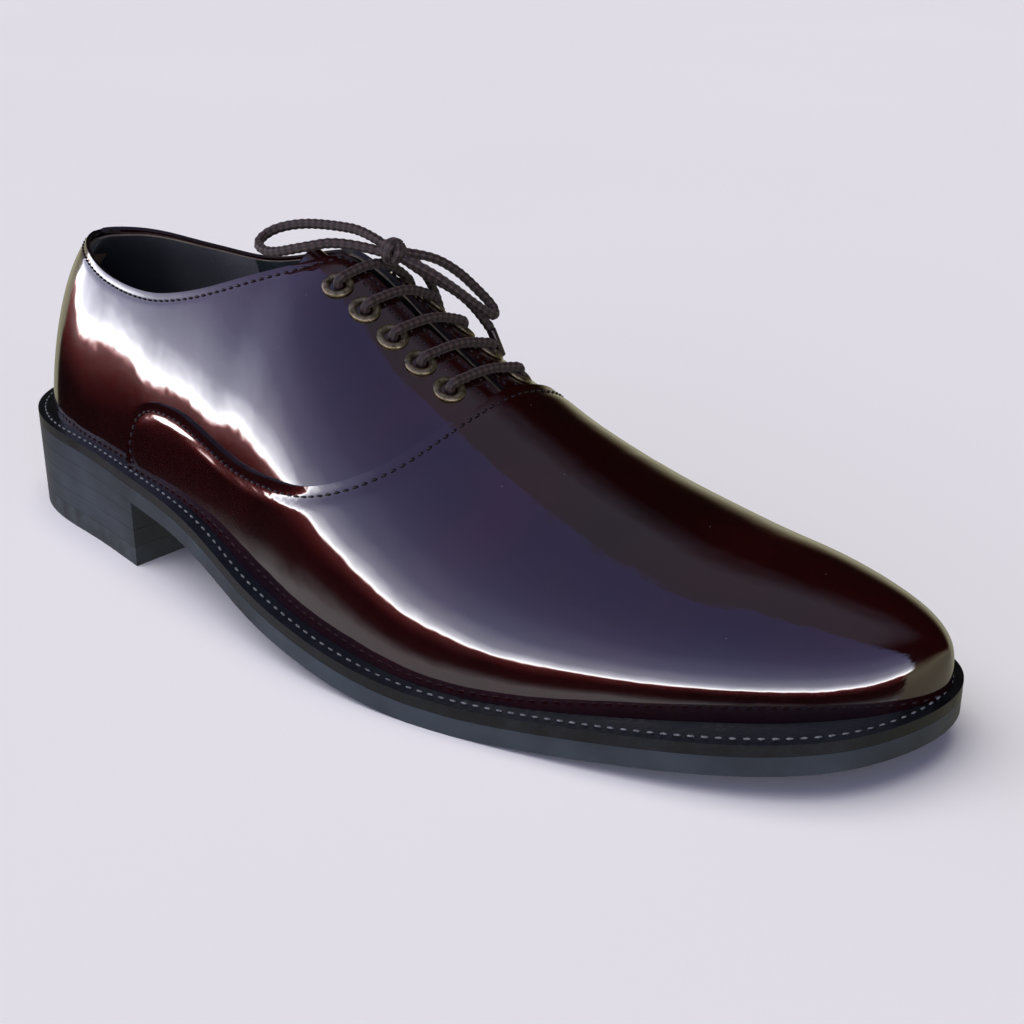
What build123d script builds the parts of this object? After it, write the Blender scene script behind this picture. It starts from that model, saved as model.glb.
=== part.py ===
from build123d import *
import math
import os

# A right-foot oxford shoe in patent leather, laced and tied.  Millimetres.
# +X is the toe, +Y the medial (inner) side, +Z up.  The origin is on the floor under the
# middle of the sole.  The last's pattern is drawn for one size, as a shoemaker draws it:
# x runs from the back of the heel, y is towards the medial side, heights start at the
# feather line, where the upper meets the welt.  It is then graded to the sizes below.

os.makedirs("parts", exist_ok=True)

# --- driving sizes ---------------------------------------------------------------------
shoe_length = 305.0       # outsole, heel to toe
shoe_width = 106.0        # outsole, across the ball and the outer joint
heel_height = 22.0        # floor to the outsole at the back of the heel
toe_spring = 8.5          # floor to the outsole at the toe
outsole_t = 5.0
welt_t = 3.0
upper_t = 1.3             # vamp and quarter leather
lining_t = 0.8
counter_t = 1.4
puff_t = 1.0
stay_t = 0.5
insole_t = 2.2
sock_t = 0.8
tongue_t = 1.0
top_piece_t = 6.0         # rubber lift that touches the floor
lift_t = 5.2              # each leather heel lift
heel_breast_x = 80.0      # pattern x of the heel's flat front
bond = 0.08               # room between two cemented layers
running_gap = 0.5         # room round the tongue
lace_d = 2.8
lace_flat_t = 1.5         # lace pressed flat under the facings
eyelet_count = 5
eyelet_first_x = 139.0    # pattern x of the top eyelet
eyelet_step_x = 9.5       # along the pattern, eyelet to eyelet
eyelet_from_ridge = 12.0
medial_eyelet_lead = 1.5  # the medial row sits this much nearer the toe
eyelet_hole_d = 4.4
eyelet_barrel_d = 5.2
eyelet_flange_d = 8.4
eyelet_metal_t = 0.4
flange_lift = 0.55        # the flat flange stands this far off the curved leather
facing_gap_top = 6.0      # between the two facings at the topline
facing_gap_throat = 2.4
seam_lap = 8.0            # quarter leather under the vamp
shank_length = 100.0
shank_w = 12.0
shank_t = 1.2
nail_d = 2.0
tongue_top_x = 117.0      # pattern x of the tongue's free end
throat_x = 185.5          # pattern x where the facings end

# --- the pattern -----------------------------------------------------------------------
pattern_length = 305.0
pattern_width = 106.0
last_back_x = 2.0
last_toe_x = 302.5
grade_x = shoe_length / pattern_length
grade_y = shoe_width / pattern_width

# x, half width, centre y, ridge height over the feather line, ridge y
LAST = [
    (2, 0, 0, 30, 0), (5, 12.2, -0.3, 40, 0), (9, 17.4, -0.5, 46, 0), (15, 23, -1, 52, 0),
    (25, 28.5, -1.5, 60, 0), (40, 31, -3, 67.5, 0), (55, 31.8, -4.2, 71.5, 0),
    (75, 31.8, -6.8, 72.5, -1), (95, 31.8, -9.2, 73, -1), (115, 33, -11, 73.5, -1),
    (135, 36.2, -11.2, 75.5, -1.5), (160, 41.8, -8.8, 67, -1), (185, 46.2, -4.2, 58, 0),
    (205, 46.8, -0.8, 49, 2.5), (225, 44.5, 2.5, 40.5, 5.5), (245, 39.8, 5.8, 33, 9),
    (265, 33.2, 8.8, 27.5, 13), (280, 26.4, 11, 23, 15), (292, 18.8, 13.8, 18.5, 16),
    (299.5, 10, 16, 14.5, 16.5), (302.5, 0, 17.5, 10, 17.5),
]
# x, rise of the side wall, reach of the crown, bulge past the feather line (all shares)
FORM = [
    (2, 0.44, 0.50, -0.04), (60, 0.42, 0.47, -0.06), (120, 0.49, 0.46, 0.0),
    (160, 0.61, 0.56, 0.08), (200, 0.57, 0.50, 0.085), (250, 0.61, 0.54, 0.10),
    (302.5, 0.66, 0.54, 0.09),
]
# x, half width, centre y of the outsole
SOLE = [
    (0, 0, 0), (8, 21.5, -0.5), (25, 32.3, -1.3), (55, 34.8, -3.8), (85, 35.2, -8.2),
    (115, 36.7, -11.7), (145, 43, -11), (175, 49.5, -6.5), (200, 51.2, -2.2),
    (225, 48.9, 1.2), (255, 42.9, 4.2), (280, 34.4, 6.6), (297, 22.8, 10.8),
    (302.5, 13.2, 13.2), (305, 0, 15),
]
# x, share of the heel height, share of the toe spring: the outsole's underside
TREAD_BACK = [(0, 1.0), (40, 0.98), (80, 0.91), (110, 0.80), (140, 0.42), (165, 0.19),
              (190, 0.025), (200, 0)]
TREAD_FRONT = [(212, 0), (225, 0.09), (250, 0.37), (280, 0.76), (305, 1.0)]
tread_flat_from = 200.0
tread_flat_to = 212.0

# x and height over the feather line, seen from the side
TOPLINE_LATERAL = [(-8, 54), (10, 52), (25, 50.6), (50, 47.3), (70, 47.6), (85, 50.8),
                   (100, 56.2), (116, 64.5), (133, 75.5), (150, 89)]
TOPLINE_MEDIAL = [(-8, 54), (10, 52), (25, 51.2), (50, 50.2), (70, 51.5), (85, 54),
                  (100, 58.4), (116, 65.5), (133, 75.5), (150, 89)]
VAMP_SEAM = [(76, -4), (73.5, 6), (74.5, 12), (78, 18), (85, 22), (98, 23.6), (113, 23.2),
             (126, 24.6), (142, 29), (157, 33.6), (169, 39.5), (178, 46), (183, 52.5),
             (185.5, 60), (186, 75)]

# --- reading the pattern ---------------------------------------------------------------


def smooth(table, x, column):
    """Read a column between its rows, on a smooth curve that turns steeply at both ends."""
    first, last = table[0][0], table[-1][0]
    turn = [math.acos(1 - 2 * (row[0] - first) / (last - first)) for row in table]
    value = [row[column] for row in table]
    share = min(max((x - first) / (last - first), 0.0), 1.0)
    at = math.acos(1 - 2 * share)
    step = [b - a for a, b in zip(turn, turn[1:])]
    rate = [(b - a) / h for a, b, h in zip(value, value[1:], step)]
    slope = [rate[0]]
    for i in range(1, len(table) - 1):
        slope.append((rate[i - 1] * step[i] + rate[i] * step[i - 1]) / (step[i - 1] + step[i]))
    slope.append(rate[-1])
    i = 0
    while i < len(step) - 1 and at > turn[i + 1]:
        i += 1
    s = (at - turn[i]) / step[i]
    near = (1 + 2 * s) * (1 - s) ** 2 * value[i] + s * (1 - s) ** 2 * step[i] * slope[i]
    far = s * s * (3 - 2 * s) * value[i + 1] + s * s * (s - 1) * step[i] * slope[i + 1]
    return near + far


def tread(x):
    """Height of the outsole's underside over the floor, at a pattern x."""
    if x < tread_flat_from:
        return heel_height * max(smooth(TREAD_BACK, x, 1), 0.0)
    if x > tread_flat_to:
        return toe_spring * max(smooth(TREAD_FRONT, x, 1), 0.0)
    return 0.0


def feather(x):
    """Height of the feather line over the floor."""
    return tread(x) + outsole_t + welt_t


outline_y = [smooth(SOLE, x, 2) + side * smooth(SOLE, x, 1)
             for x in range(0, 306, 5) for side in (-1, 1)]
middle_y = (max(outline_y) + min(outline_y)) / 2 * grade_y


def place_x(x):
    return x * grade_x - shoe_length / 2


def place_y(y):
    return y * grade_y - middle_y


def last_section(x, inset):
    """The two Bezier halves of the last across a pattern x, its skin moved in by inset."""
    length = last_toe_x - last_back_x
    shrink = inset / grade_x
    source = last_back_x + (x - last_back_x - shrink) * length / (length - 2 * shrink)
    half = smooth(LAST, source, 1) * grade_y * (1 - inset / 40)
    middle = place_y(smooth(LAST, source, 2))
    top = feather(x) + smooth(LAST, source, 3) - inset
    ridge = place_y(smooth(LAST, source, 4))
    base = feather(x)
    halves = []
    for side in (-1, 1):
        foot = middle + side * half
        wall = (foot + side * smooth(FORM, source, 3) * half,
                base + smooth(FORM, source, 1) * (top - base))
        crown = (ridge + smooth(FORM, source, 2) * (foot - ridge), top)
        halves.append([(foot, base), wall, crown, (ridge, top)])
    return halves


def skin_point(x, y, inset):
    """The point of the last's skin over a pattern x and a row y, moved in by inset."""
    lateral, medial = last_section(x, inset)
    curve = lateral if y < lateral[3][0] else medial
    toward_ridge = abs(curve[0][0] - curve[3][0])
    low, high = 0.3, 1.0
    for _ in range(30):
        t = (low + high) / 2
        s = 1 - t
        mix = (s ** 3, 3 * s * s * t, 3 * s * t * t, t ** 3)
        here = sum(m * p[0] for m, p in zip(mix, curve))
        if abs(here - curve[3][0]) > abs(y - curve[3][0]) and toward_ridge:
            low = t
        else:
            high = t
    return Vector(place_x(x), y, sum(m * p[1] for m, p in zip(mix, curve)))


def skin_normal(x, y, inset):
    """The outward direction of the last's skin at the same point."""
    reach = 1.0
    along = skin_point(x + reach, y, inset) - skin_point(x - reach, y, inset)
    across = skin_point(x, y + reach, inset) - skin_point(x, y - reach, inset)
    return along.cross(across).normalized()


# --- tools that several pieces are cut with ------------------------------------------------
skirt = 4.0               # how far the tool solids run past the feather line
station_count = 27
first_turn = 7.0          # degrees of the turn at which the first station stands


def last_block(inset):
    """The whole last as a solid, its skin moved in by inset, standing past the feather line."""
    with BuildPart() as block:
        for i in range(station_count):
            turn = first_turn + (180 - 2 * first_turn) * i / (station_count - 1)
            back = last_back_x + inset / grade_x
            reach = last_toe_x - last_back_x - 2 * inset / grade_x
            x = back + reach * (1 - math.cos(math.radians(turn))) / 2
            lateral, medial = last_section(x, inset)
            low = lateral[0][1] - skirt
            with BuildSketch(Plane.YZ.offset(place_x(x))):
                with BuildLine():
                    Bezier(*lateral)
                    Bezier(*reversed(medial))
                    Line(medial[0], (medial[0][0], low))
                    Line((medial[0][0], low), (lateral[0][0], low))
                    Line((lateral[0][0], low), lateral[0])
                make_face()
        loft()
    return block.part


def side_curve(rise):
    """Points along the outsole's underside, raised by rise, in three smooth stretches."""
    back = [(place_x(x), tread(x) + rise) for x in range(-20, 200, 20)]
    back.append((place_x(tread_flat_from), rise))
    front = [(place_x(x), tread(x) + rise) for x in (tread_flat_to, 225, 245, 265, 285, 305, 325)]
    return back, front


def band(low, high):
    """A slab as wide as the shoe, between two rises over the outsole's underside."""
    with BuildPart() as slab:
        with BuildSketch(Plane.XZ):
            with BuildLine():
                for rise in (low, high):
                    back, front = side_curve(rise)
                    Spline(*back)
                    Line(back[-1], front[0])
                    Spline(*front)
                low_back, low_front = side_curve(low)
                high_back, high_front = side_curve(high)
                Line(low_back[0], high_back[0])
                Line(low_front[-1], high_front[-1])
            make_face()
        extrude(amount=shoe_width, both=True)
    return slab.part


def side_region(points, corners):
    """A slab across the shoe: a smooth line through points, closed by straight corners."""
    with BuildPart() as slab:
        with BuildSketch(Plane.XZ):
            with BuildLine():
                Spline(*points)
                Polyline(points[-1], *corners, points[0])
            make_face()
        extrude(amount=shoe_width, both=True)
    return slab.part


def outline(table, inset):
    """Points round an outline of the pattern, moved in by inset, for a closed spline."""
    first, last = table[0][0], table[-1][0]
    turns = [math.radians(a) for a in range(0, 181, 10)]
    sides = []
    for side in (-1, 1):
        row = []
        for turn in turns:
            x = first + (last - first) * (1 - math.cos(turn)) / 2
            half = max(smooth(table, x, 1) * grade_y - inset * math.sin(turn), 0.0)
            along = place_x(x) + inset * math.cos(turn)
            row.append((along, place_y(smooth(table, x, 2)) + side * half))
        sides.append(row)
    return sides[0] + sides[1][-2:0:-1]


def prism(table, inset, height):
    """An outline of the pattern, raised from the floor."""
    with BuildPart() as block:
        with BuildSketch(Plane.XY.offset(-1)):
            with BuildLine():
                Spline(*outline(table, inset), periodic=True)
            make_face()
        extrude(amount=height + 1)
    return block.part


def on_side(pattern_points, lead=0.0, rise=0.0):
    """Pattern points seen from the side, in the shoe's own frame."""
    return [(place_x(x + lead), feather(x) + h + rise) for x, h in pattern_points]


sky = 160.0               # above everything
seat = outsole_t + welt_t
far_front = place_x(340)
far_back = place_x(-40)
above_feather = band(seat + bond, sky)

# layers of the upper, from the outside in
quarter_in = upper_t + bond
quarter_out_to = quarter_in + upper_t
stiffener_in = quarter_out_to + bond
counter_to = stiffener_in + counter_t
heel_lining_in = counter_to + bond
heel_lining_to = heel_lining_in + lining_t
puff_to = quarter_in + puff_t
facing_stack = upper_t + stay_t + lining_t + 3 * bond
rim_gap = 0.5             # room between the lining and the eyelet's rolled rim
inner_run_from = facing_stack + rim_gap + eyelet_metal_t + 3 * bond
sag_gap = 1.4             # the flat runs are chords, so their middles stand lower
tongue_drop = quarter_in + inner_run_from + lace_flat_t + sag_gap + running_gap

block_vamp_out = last_block(0)
block_vamp_in = last_block(upper_t)
block_quarter_out = last_block(quarter_in)
block_quarter_in = last_block(quarter_out_to)

seam_points = on_side(VAMP_SEAM)
lap_points = on_side(VAMP_SEAM, lead=seam_lap * 0.6, rise=-seam_lap * 0.8)
vamp_region = side_region(seam_points, [(place_x(186), sky), (far_front, sky),
                                        (far_front, -20), (place_x(76), -20)])
lap_region = side_region(lap_points, [(place_x(191), sky), (far_front, sky),
                                      (far_front, -20), (place_x(81), -20)])


def topline_region(points):
    """Everything over a topline."""
    line = on_side(points)
    return side_region(line, [(line[-1][0], sky), (line[0][0], sky)])


over_lateral = topline_region(TOPLINE_LATERAL)
over_medial = topline_region(TOPLINE_MEDIAL)

with BuildPart() as facing_gap_tool:
    with BuildSketch(Plane.XY.offset(0)):
        with BuildLine():
            top_x = place_x(60)
            end_x = place_x(throat_x)
            ridge_top = place_y(-1)
            ridge_end = place_y(0)
            half_end = facing_gap_throat / 2
            Polyline((top_x, ridge_top - facing_gap_top), (end_x, ridge_end - half_end),
                     (end_x + 20, ridge_end), (end_x, ridge_end + half_end),
                     (top_x, ridge_top + facing_gap_top), close=True)
        make_face()
    extrude(amount=sky)

with BuildPart() as lateral_half:
    with BuildSketch(Plane.XY.offset(-1)):
        with BuildLine():
            split_back = place_y(0) - bond
            split_front = place_y(-0.5) - bond
            Polyline((far_back, split_back), (place_x(60), split_back), (place_x(200), split_front),
                     (far_front, split_front), (far_front, -shoe_width), (far_back, -shoe_width),
                     close=True)
        make_face()
    extrude(amount=sky)

with BuildPart() as medial_half:
    with BuildSketch(Plane.XY.offset(-1)):
        with BuildLine():
            split_back = place_y(0) + bond
            split_front = place_y(-0.5) + bond
            Polyline((far_back, split_back), (place_x(60), split_back), (place_x(200), split_front),
                     (far_front, split_front), (far_front, shoe_width), (far_back, shoe_width),
                     close=True)
        make_face()
    extrude(amount=sky)


def finish(builder, name):
    """Label a finished piece and write it."""
    builder.part.label = name
    export_step(builder.part, f"parts/{name}.step")


# --- vamp: patent leather over the whole forepart, lapped on the quarters ----------------------
with BuildPart() as vamp:
    add(block_vamp_out)
    add(block_vamp_in, mode=Mode.SUBTRACT)
    add(above_feather, mode=Mode.INTERSECT)
    add(vamp_region, mode=Mode.INTERSECT)
finish(vamp, "vamp")

# --- quarters: the two rear halves, sewn up the back, carrying the facings ---------------------
with BuildPart() as quarters_both:
    add(block_quarter_out)
    add(block_quarter_in, mode=Mode.SUBTRACT)
    add(above_feather, mode=Mode.INTERSECT)
    add(lap_region, mode=Mode.SUBTRACT)
    add(facing_gap_tool.part, mode=Mode.SUBTRACT)

# --- eyelets: five brass rings through each facing ---------------------------------------------


def eyelet_planes(side):
    """A plane at each eyelet of one row, on the leather, looking out."""
    planes = []
    for i in range(eyelet_count):
        lead = medial_eyelet_lead if side > 0 else 0.0
        x = eyelet_first_x + lead + eyelet_step_x * i
        y = place_y(smooth(LAST, x, 4)) + side * eyelet_from_ridge
        planes.append(Plane(origin=skin_point(x, y, quarter_in), x_dir=(0, 1, 0),
                            z_dir=skin_normal(x, y, quarter_in)))
    return planes


rolled_rim = 0.7          # the barrel's end, rolled outwards behind the facing
flange_slope = 0.6        # the flange's outer shoulder
mouth_slope = 0.5         # and its inner one


def eyelet_row(side):
    """One row of eyelets: a flange, a barrel through the facing and a rolled rim behind."""
    with BuildPart() as row:
        for plane in eyelet_planes(side):
            barrel_r = eyelet_barrel_d / 2
            hole_r = eyelet_hole_d / 2
            flange_r = eyelet_flange_d / 2
            behind = -facing_stack - rim_gap
            rim_r = barrel_r + rolled_rim
            shoulder = flange_lift + eyelet_metal_t / 2
            crown = flange_lift + eyelet_metal_t * 1.6
            with BuildSketch(Plane(origin=plane.origin, x_dir=plane.x_dir,
                                   z_dir=-plane.y_dir)):
                with BuildLine():
                    Polyline((hole_r, behind - eyelet_metal_t), (rim_r, behind - eyelet_metal_t),
                             (rim_r, behind), (barrel_r, behind), (barrel_r, flange_lift),
                             (flange_r, flange_lift), (flange_r, shoulder),
                             (flange_r - flange_slope, crown), (hole_r + mouth_slope, crown),
                             (hole_r, shoulder), close=True)
                make_face()
            revolve(axis=Axis(plane.origin, plane.z_dir))
    return row


punch_depth = 6.0
punch_stand = 4.0


def eyelet_holes(side):
    """The holes for one row, as rods through the whole facing."""
    with BuildPart() as rods:
        for plane in eyelet_planes(side):
            with BuildSketch(plane.offset(-punch_depth)):
                Circle(eyelet_barrel_d / 2 + bond)
            extrude(amount=punch_depth + punch_stand)
    return rods.part


holes = {-1: eyelet_holes(-1), 1: eyelet_holes(1)}
halves = {-1: lateral_half.part, 1: medial_half.part}
over_top = {-1: over_lateral, 1: over_medial}
side_name = {-1: "lateral", 1: "medial"}

stay_near = 4.5           # the stay tape's two edges, from the ridge
stay_far = 19.0
stay_stations = (132, 145, 160, 172, 181)

for side in (-1, 1):
    with BuildPart() as quarter:
        add(quarters_both.part)
        add(halves[side], mode=Mode.INTERSECT)
        add(over_top[side], mode=Mode.SUBTRACT)
        add(holes[side], mode=Mode.SUBTRACT)
    finish(quarter, f"quarter_{side_name[side]}")
    finish(eyelet_row(side), f"eyelets_{side_name[side]}")

    # facing stay: a strip of tape cemented behind the eyelets
    with BuildPart() as stay:
        with BuildSketch(Plane.XY.offset(0)):
            stay_line = [(place_x(x), place_y(smooth(LAST, x, 4))) for x in stay_stations]
            near = [(x, y + side * stay_near) for x, y in stay_line]
            far = [(x, y + side * stay_far) for x, y in stay_line]
            with BuildLine():
                Polyline(*near, *reversed(far), close=True)
            make_face()
        extrude(amount=sky)
        add(last_block(stiffener_in), mode=Mode.INTERSECT)
        add(last_block(stiffener_in + stay_t), mode=Mode.SUBTRACT)
        add(above_feather, mode=Mode.INTERSECT)
        add(over_top[side], mode=Mode.SUBTRACT)
        add(holes[side], mode=Mode.SUBTRACT)
    finish(stay, f"facing_stay_{side_name[side]}")

# --- linings and stiffeners -------------------------------------------------------------------


def cross_slab(from_x, to_x):
    """A slab across the whole shoe between two pattern x."""
    with BuildPart() as slab:
        with BuildSketch(Plane.YZ.offset(place_x(from_x))):
            Rectangle(2 * shoe_width, 2 * sky)
        extrude(amount=place_x(to_x) - place_x(from_x))
    return slab.part


counter_to_x = 68.0
counter_back_h = 44.0     # the cup's top edge, over the feather line
counter_top_x = 22.0
counter_top_h = 42.0
counter_side_x = 54.0
counter_side_h = 32.0
counter_front_h = 14.0
lining_seam_x = 72.0
lining_lap = 6.0
vamp_lining_from = throat_x - 2.0
block_stiff_in = last_block(stiffener_in)
block_counter_in = last_block(counter_to)
block_heel_lining_out = last_block(heel_lining_in)
block_heel_lining_in = last_block(heel_lining_to)
stay_to = stiffener_in + stay_t
lining_in = stay_to + bond
lining_to = lining_in + lining_t
block_lining_out = last_block(lining_in)
block_lining_in = last_block(lining_to)

# heel counter: a stiff cup between the quarters and the heel lining
with BuildPart() as heel_counter:
    add(block_stiff_in)
    add(block_counter_in, mode=Mode.SUBTRACT)
    add(above_feather, mode=Mode.INTERSECT)
    with BuildSketch(Plane.XZ):
        with BuildLine():
            cup_back = (far_back, feather(0) + counter_back_h)
            cup_top = (place_x(counter_top_x), feather(counter_top_x) + counter_top_h)
            cup_side = (place_x(counter_side_x), feather(counter_side_x) + counter_side_h)
            cup_front = (place_x(counter_to_x), feather(counter_to_x) + counter_front_h)
            Line(cup_back, cup_top)
            ThreePointArc(cup_top, cup_side, cup_front)
            Polyline(cup_front, (cup_front[0], 0), (far_back, 0), cup_back)
        make_face()
    extrude(amount=shoe_width, both=True, mode=Mode.INTERSECT)
finish(heel_counter, "heel_counter")

# heel lining: the dark grip piece inside the back of the shoe
with BuildPart() as heel_lining:
    add(block_heel_lining_out)
    add(block_heel_lining_in, mode=Mode.SUBTRACT)
    add(above_feather, mode=Mode.INTERSECT)
    add(cross_slab(-20, lining_seam_x + lining_lap), mode=Mode.INTERSECT)
    add(over_medial, mode=Mode.SUBTRACT)
finish(heel_lining, "heel_lining")

# quarter linings: one each side, from the heel lining to the throat
for side in (-1, 1):
    with BuildPart() as quarter_lining:
        add(block_lining_out)
        add(block_lining_in, mode=Mode.SUBTRACT)
        add(above_feather, mode=Mode.INTERSECT)
        add(cross_slab(lining_seam_x, vamp_lining_from - 0.5), mode=Mode.INTERSECT)
        add(facing_gap_tool.part, mode=Mode.SUBTRACT)
        add(halves[side], mode=Mode.INTERSECT)
        add(over_top[side], mode=Mode.SUBTRACT)
        add(holes[side], mode=Mode.SUBTRACT)
    finish(quarter_lining, f"quarter_lining_{side_name[side]}")

# vamp lining: inside the forepart, meeting the quarter linings at the joint of the foot
with BuildPart() as vamp_lining:
    add(block_lining_out)
    add(block_lining_in, mode=Mode.SUBTRACT)
    add(above_feather, mode=Mode.INTERSECT)
    add(cross_slab(vamp_lining_from, 320), mode=Mode.INTERSECT)
finish(vamp_lining, "vamp_lining")

# toe puff: a stiff cap between vamp and lining
with BuildPart() as toe_puff:
    add(block_quarter_out)
    add(last_block(puff_to), mode=Mode.SUBTRACT)
    add(above_feather, mode=Mode.INTERSECT)
    add(cross_slab(252, 320), mode=Mode.INTERSECT)
finish(toe_puff, "toe_puff")

# --- tongue: leather outside, lined inside, sewn in at the throat ----------------------------


tongue_root_x = throat_x - 3.0
tongue_root_half = 11.0   # half its width at the throat
tongue_flare = 4.0        # and how much more at the free end
tongue_lift_from = 140.0
tongue_lift_by = 3.2
tongue_corner = 10.0
tongue_stations = (tongue_root_x, 172, 160, 148, 137, 127, tongue_top_x)


def tongue_half(x):
    """Half the tongue's width."""
    return tongue_root_half + tongue_flare * (throat_x - x) / (throat_x - tongue_top_x)


def tongue_lift(x):
    """How far the middle of the tongue stands over the last's own line near its free end."""
    run = max(tongue_lift_from - x, 0.0) / (tongue_lift_from - tongue_top_x)
    return tongue_lift_by * run ** 1.5


def tongue_layer(depth, thickness):
    """One leaf of the tongue, lofted through arched sections that follow the last."""
    shares = (-1, -0.7, -0.35, 0, 0.35, 0.7, 1)
    with BuildPart() as leaf:
        for x in tongue_stations:
            middle = place_y(smooth(LAST, x, 4))
            half = tongue_half(x)
            arch = []
            for share in shares:
                skin = skin_point(x, middle + share * half, tongue_drop)
                arch.append((skin.Y, skin.Z - depth + tongue_lift(x) * (1 - share * share)))
            under = [(y, z - thickness) for y, z in arch]
            with BuildSketch(Plane.YZ.offset(place_x(x))):
                with BuildLine():
                    Spline(*arch)
                    Line(arch[-1], under[-1])
                    Spline(*under)
                    Line(under[0], arch[0])
                make_face()
        loft()
        with BuildSketch(Plane.XY.offset(0)):
            widest = 2 * tongue_half(tongue_top_x)
            with Locations((place_x((tongue_top_x + tongue_root_x) / 2), place_y(-1))):
                RectangleRounded(place_x(tongue_root_x) - place_x(tongue_top_x),
                                 widest - 2 * depth, tongue_corner)
        extrude(amount=sky, mode=Mode.INTERSECT)
    return leaf


finish(tongue_layer(0.0, tongue_t), "tongue")
finish(tongue_layer(tongue_t + bond, lining_t), "tongue_lining")

# --- bottom: insole, sock, shank, filler, welt, outsole ------------------------------------------
insole_room = 0.15
sock_room = 0.4
block_insole = last_block(heel_lining_to + insole_room)
with BuildPart() as insole_board:
    add(block_insole)
    add(band(seat + bond, seat + bond + insole_t), mode=Mode.INTERSECT)
finish(insole_board, "insole_board")

sock_from = seat + insole_t + 2 * bond
with BuildPart() as sock_liner:
    add(last_block(heel_lining_to + sock_room))
    add(band(sock_from, sock_from + sock_t), mode=Mode.INTERSECT)
finish(sock_liner, "sock_liner")

welt_ring = 9.0           # width of the welt under the upper's edge
shank_middle_x = 105.0
shank_middle_y = -10.0
shank_lift = 1.0          # over the outsole
filler_t = welt_t - 2 * bond

with BuildPart() as shank:
    with BuildSketch(Plane.XY.offset(0)):
        with Locations((place_x(shank_middle_x), place_y(shank_middle_y))):
            RectangleRounded(shank_length, shank_w, shank_w / 2 - 0.1)
    extrude(amount=60)
    add(band(outsole_t + shank_lift, outsole_t + shank_lift + shank_t), mode=Mode.INTERSECT)
finish(shank, "shank")

with BuildPart() as cork_filler:
    add(prism(LAST, welt_ring + bond, 60))
    add(band(outsole_t + bond, outsole_t + bond + filler_t), mode=Mode.INTERSECT)
    with BuildSketch(Plane.XY.offset(0)):
        with Locations((place_x(shank_middle_x), place_y(shank_middle_y))):
            RectangleRounded(shank_length + 2 * bond, shank_w + 2 * bond, shank_w / 2)
    extrude(amount=60, mode=Mode.SUBTRACT)
finish(cork_filler, "cork_filler")

with BuildPart() as welt:
    add(prism(SOLE, 0, 60))
    add(prism(LAST, welt_ring, 60), mode=Mode.SUBTRACT)
    add(band(outsole_t + bond, seat), mode=Mode.INTERSECT)
finish(welt, "welt")

with BuildPart() as outsole:
    add(prism(SOLE, 0, 60))
    add(band(0, outsole_t), mode=Mode.INTERSECT)
finish(outsole, "outsole")

# --- heel: leather lifts and a rubber top piece, nailed through ------------------------------------
with BuildPart() as heel_stack:
    add(prism(SOLE, 0, 40))
    add(band(-60, -bond), mode=Mode.INTERSECT)
    add(cross_slab(-20, heel_breast_x), mode=Mode.INTERSECT)

nail_spots = [(20, -16), (20, 14), (40, -24), (40, 18), (62, -26), (62, 12)]
nail_reach = 0.72         # share of the heel's height
nail_top = heel_height * nail_reach


def nail_rods(radius):
    """Six nails, driven up from inside the top piece's seat."""
    with BuildPart() as rods:
        with BuildSketch(Plane.XY.offset(top_piece_t / 2)):
            with Locations(*[(place_x(x), place_y(y)) for x, y in nail_spots]):
                Circle(radius)
        extrude(amount=nail_top - top_piece_t / 2)
    return rods


nail_holes = nail_rods(nail_d / 2 + bond).part
finish(nail_rods(nail_d / 2), "heel_nails")

lift_levels = [0.0, top_piece_t, top_piece_t + lift_t, top_piece_t + 2 * lift_t, heel_height + 5]
lift_names = ["top_piece", "heel_lift_lower", "heel_lift_upper", "heel_seat_lift"]
for name, low, high in zip(lift_names, lift_levels, lift_levels[1:]):
    with BuildPart() as lift:
        with BuildSketch(Plane.XY.offset(low)):
            Rectangle(2 * shoe_length, 2 * shoe_width)
        extrude(amount=high - low - bond)
        add(heel_stack.part, mode=Mode.INTERSECT)
        add(nail_holes, mode=Mode.SUBTRACT)
    finish(lift, name)

# --- lace: flat bars over the facings, runs behind them, and a bow ----------------------------


def cord_radii(points):
    """The arc at each corner of a route: 0.45 of the shorter run over tan(half the turn)."""
    radii = []
    for before, here, after in zip(points, points[1:], points[2:]):
        first = here - before
        second = after - here
        half_turn = math.radians(first.get_angle(second)) / 2
        radii.append(0.45 * min(first.length, second.length) / math.tan(half_turn))
    return radii


def cord(points, diameter):
    """A round cord along straight runs joined by tangent arcs."""
    route = [Vector(*p) for p in points]
    with BuildPart() as tube:
        with BuildLine() as path:
            FilletPolyline(*route, radius=cord_radii(route))
        spine = path.wire()
        with BuildSketch(Plane(origin=spine @ 0, z_dir=spine % 0)):
            Circle(diameter / 2)
        sweep()
    return tube


bar_lift = 2.4            # the bars' middle over the leather at the eyelets
bar_crown = 2.0           # and over the ridge
leg_end = inner_run_from - bond
crown_spots = (-4.5, 3.8)  # where a bar turns over the ridge, across it
crown_slant = 0.06        # the medial row leads, so the bars run slightly forward

with BuildPart() as lace_bars:
    for lateral, medial in zip(eyelet_planes(-1), eyelet_planes(1)):
        out_lateral = lateral.z_dir
        out_medial = medial.z_dir
        middle_x = (lateral.origin.X + medial.origin.X) / 2
        pattern_x = (middle_x + shoe_length / 2) / grade_x
        ridge_y = place_y(smooth(LAST, pattern_x, 4))
        crown = []
        for offset_y in crown_spots:
            y = ridge_y + offset_y
            spot = skin_point(pattern_x + offset_y * crown_slant, y, quarter_in)
            crown.append(spot + skin_normal(pattern_x, y, quarter_in) * bar_crown)
        route = [lateral.origin - out_lateral * leg_end, lateral.origin + out_lateral * bar_lift,
                 *crown, medial.origin + out_medial * bar_lift,
                 medial.origin - out_medial * leg_end]
        add(cord(route, lace_d).part)
finish(lace_bars, "lace_bars")

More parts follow.
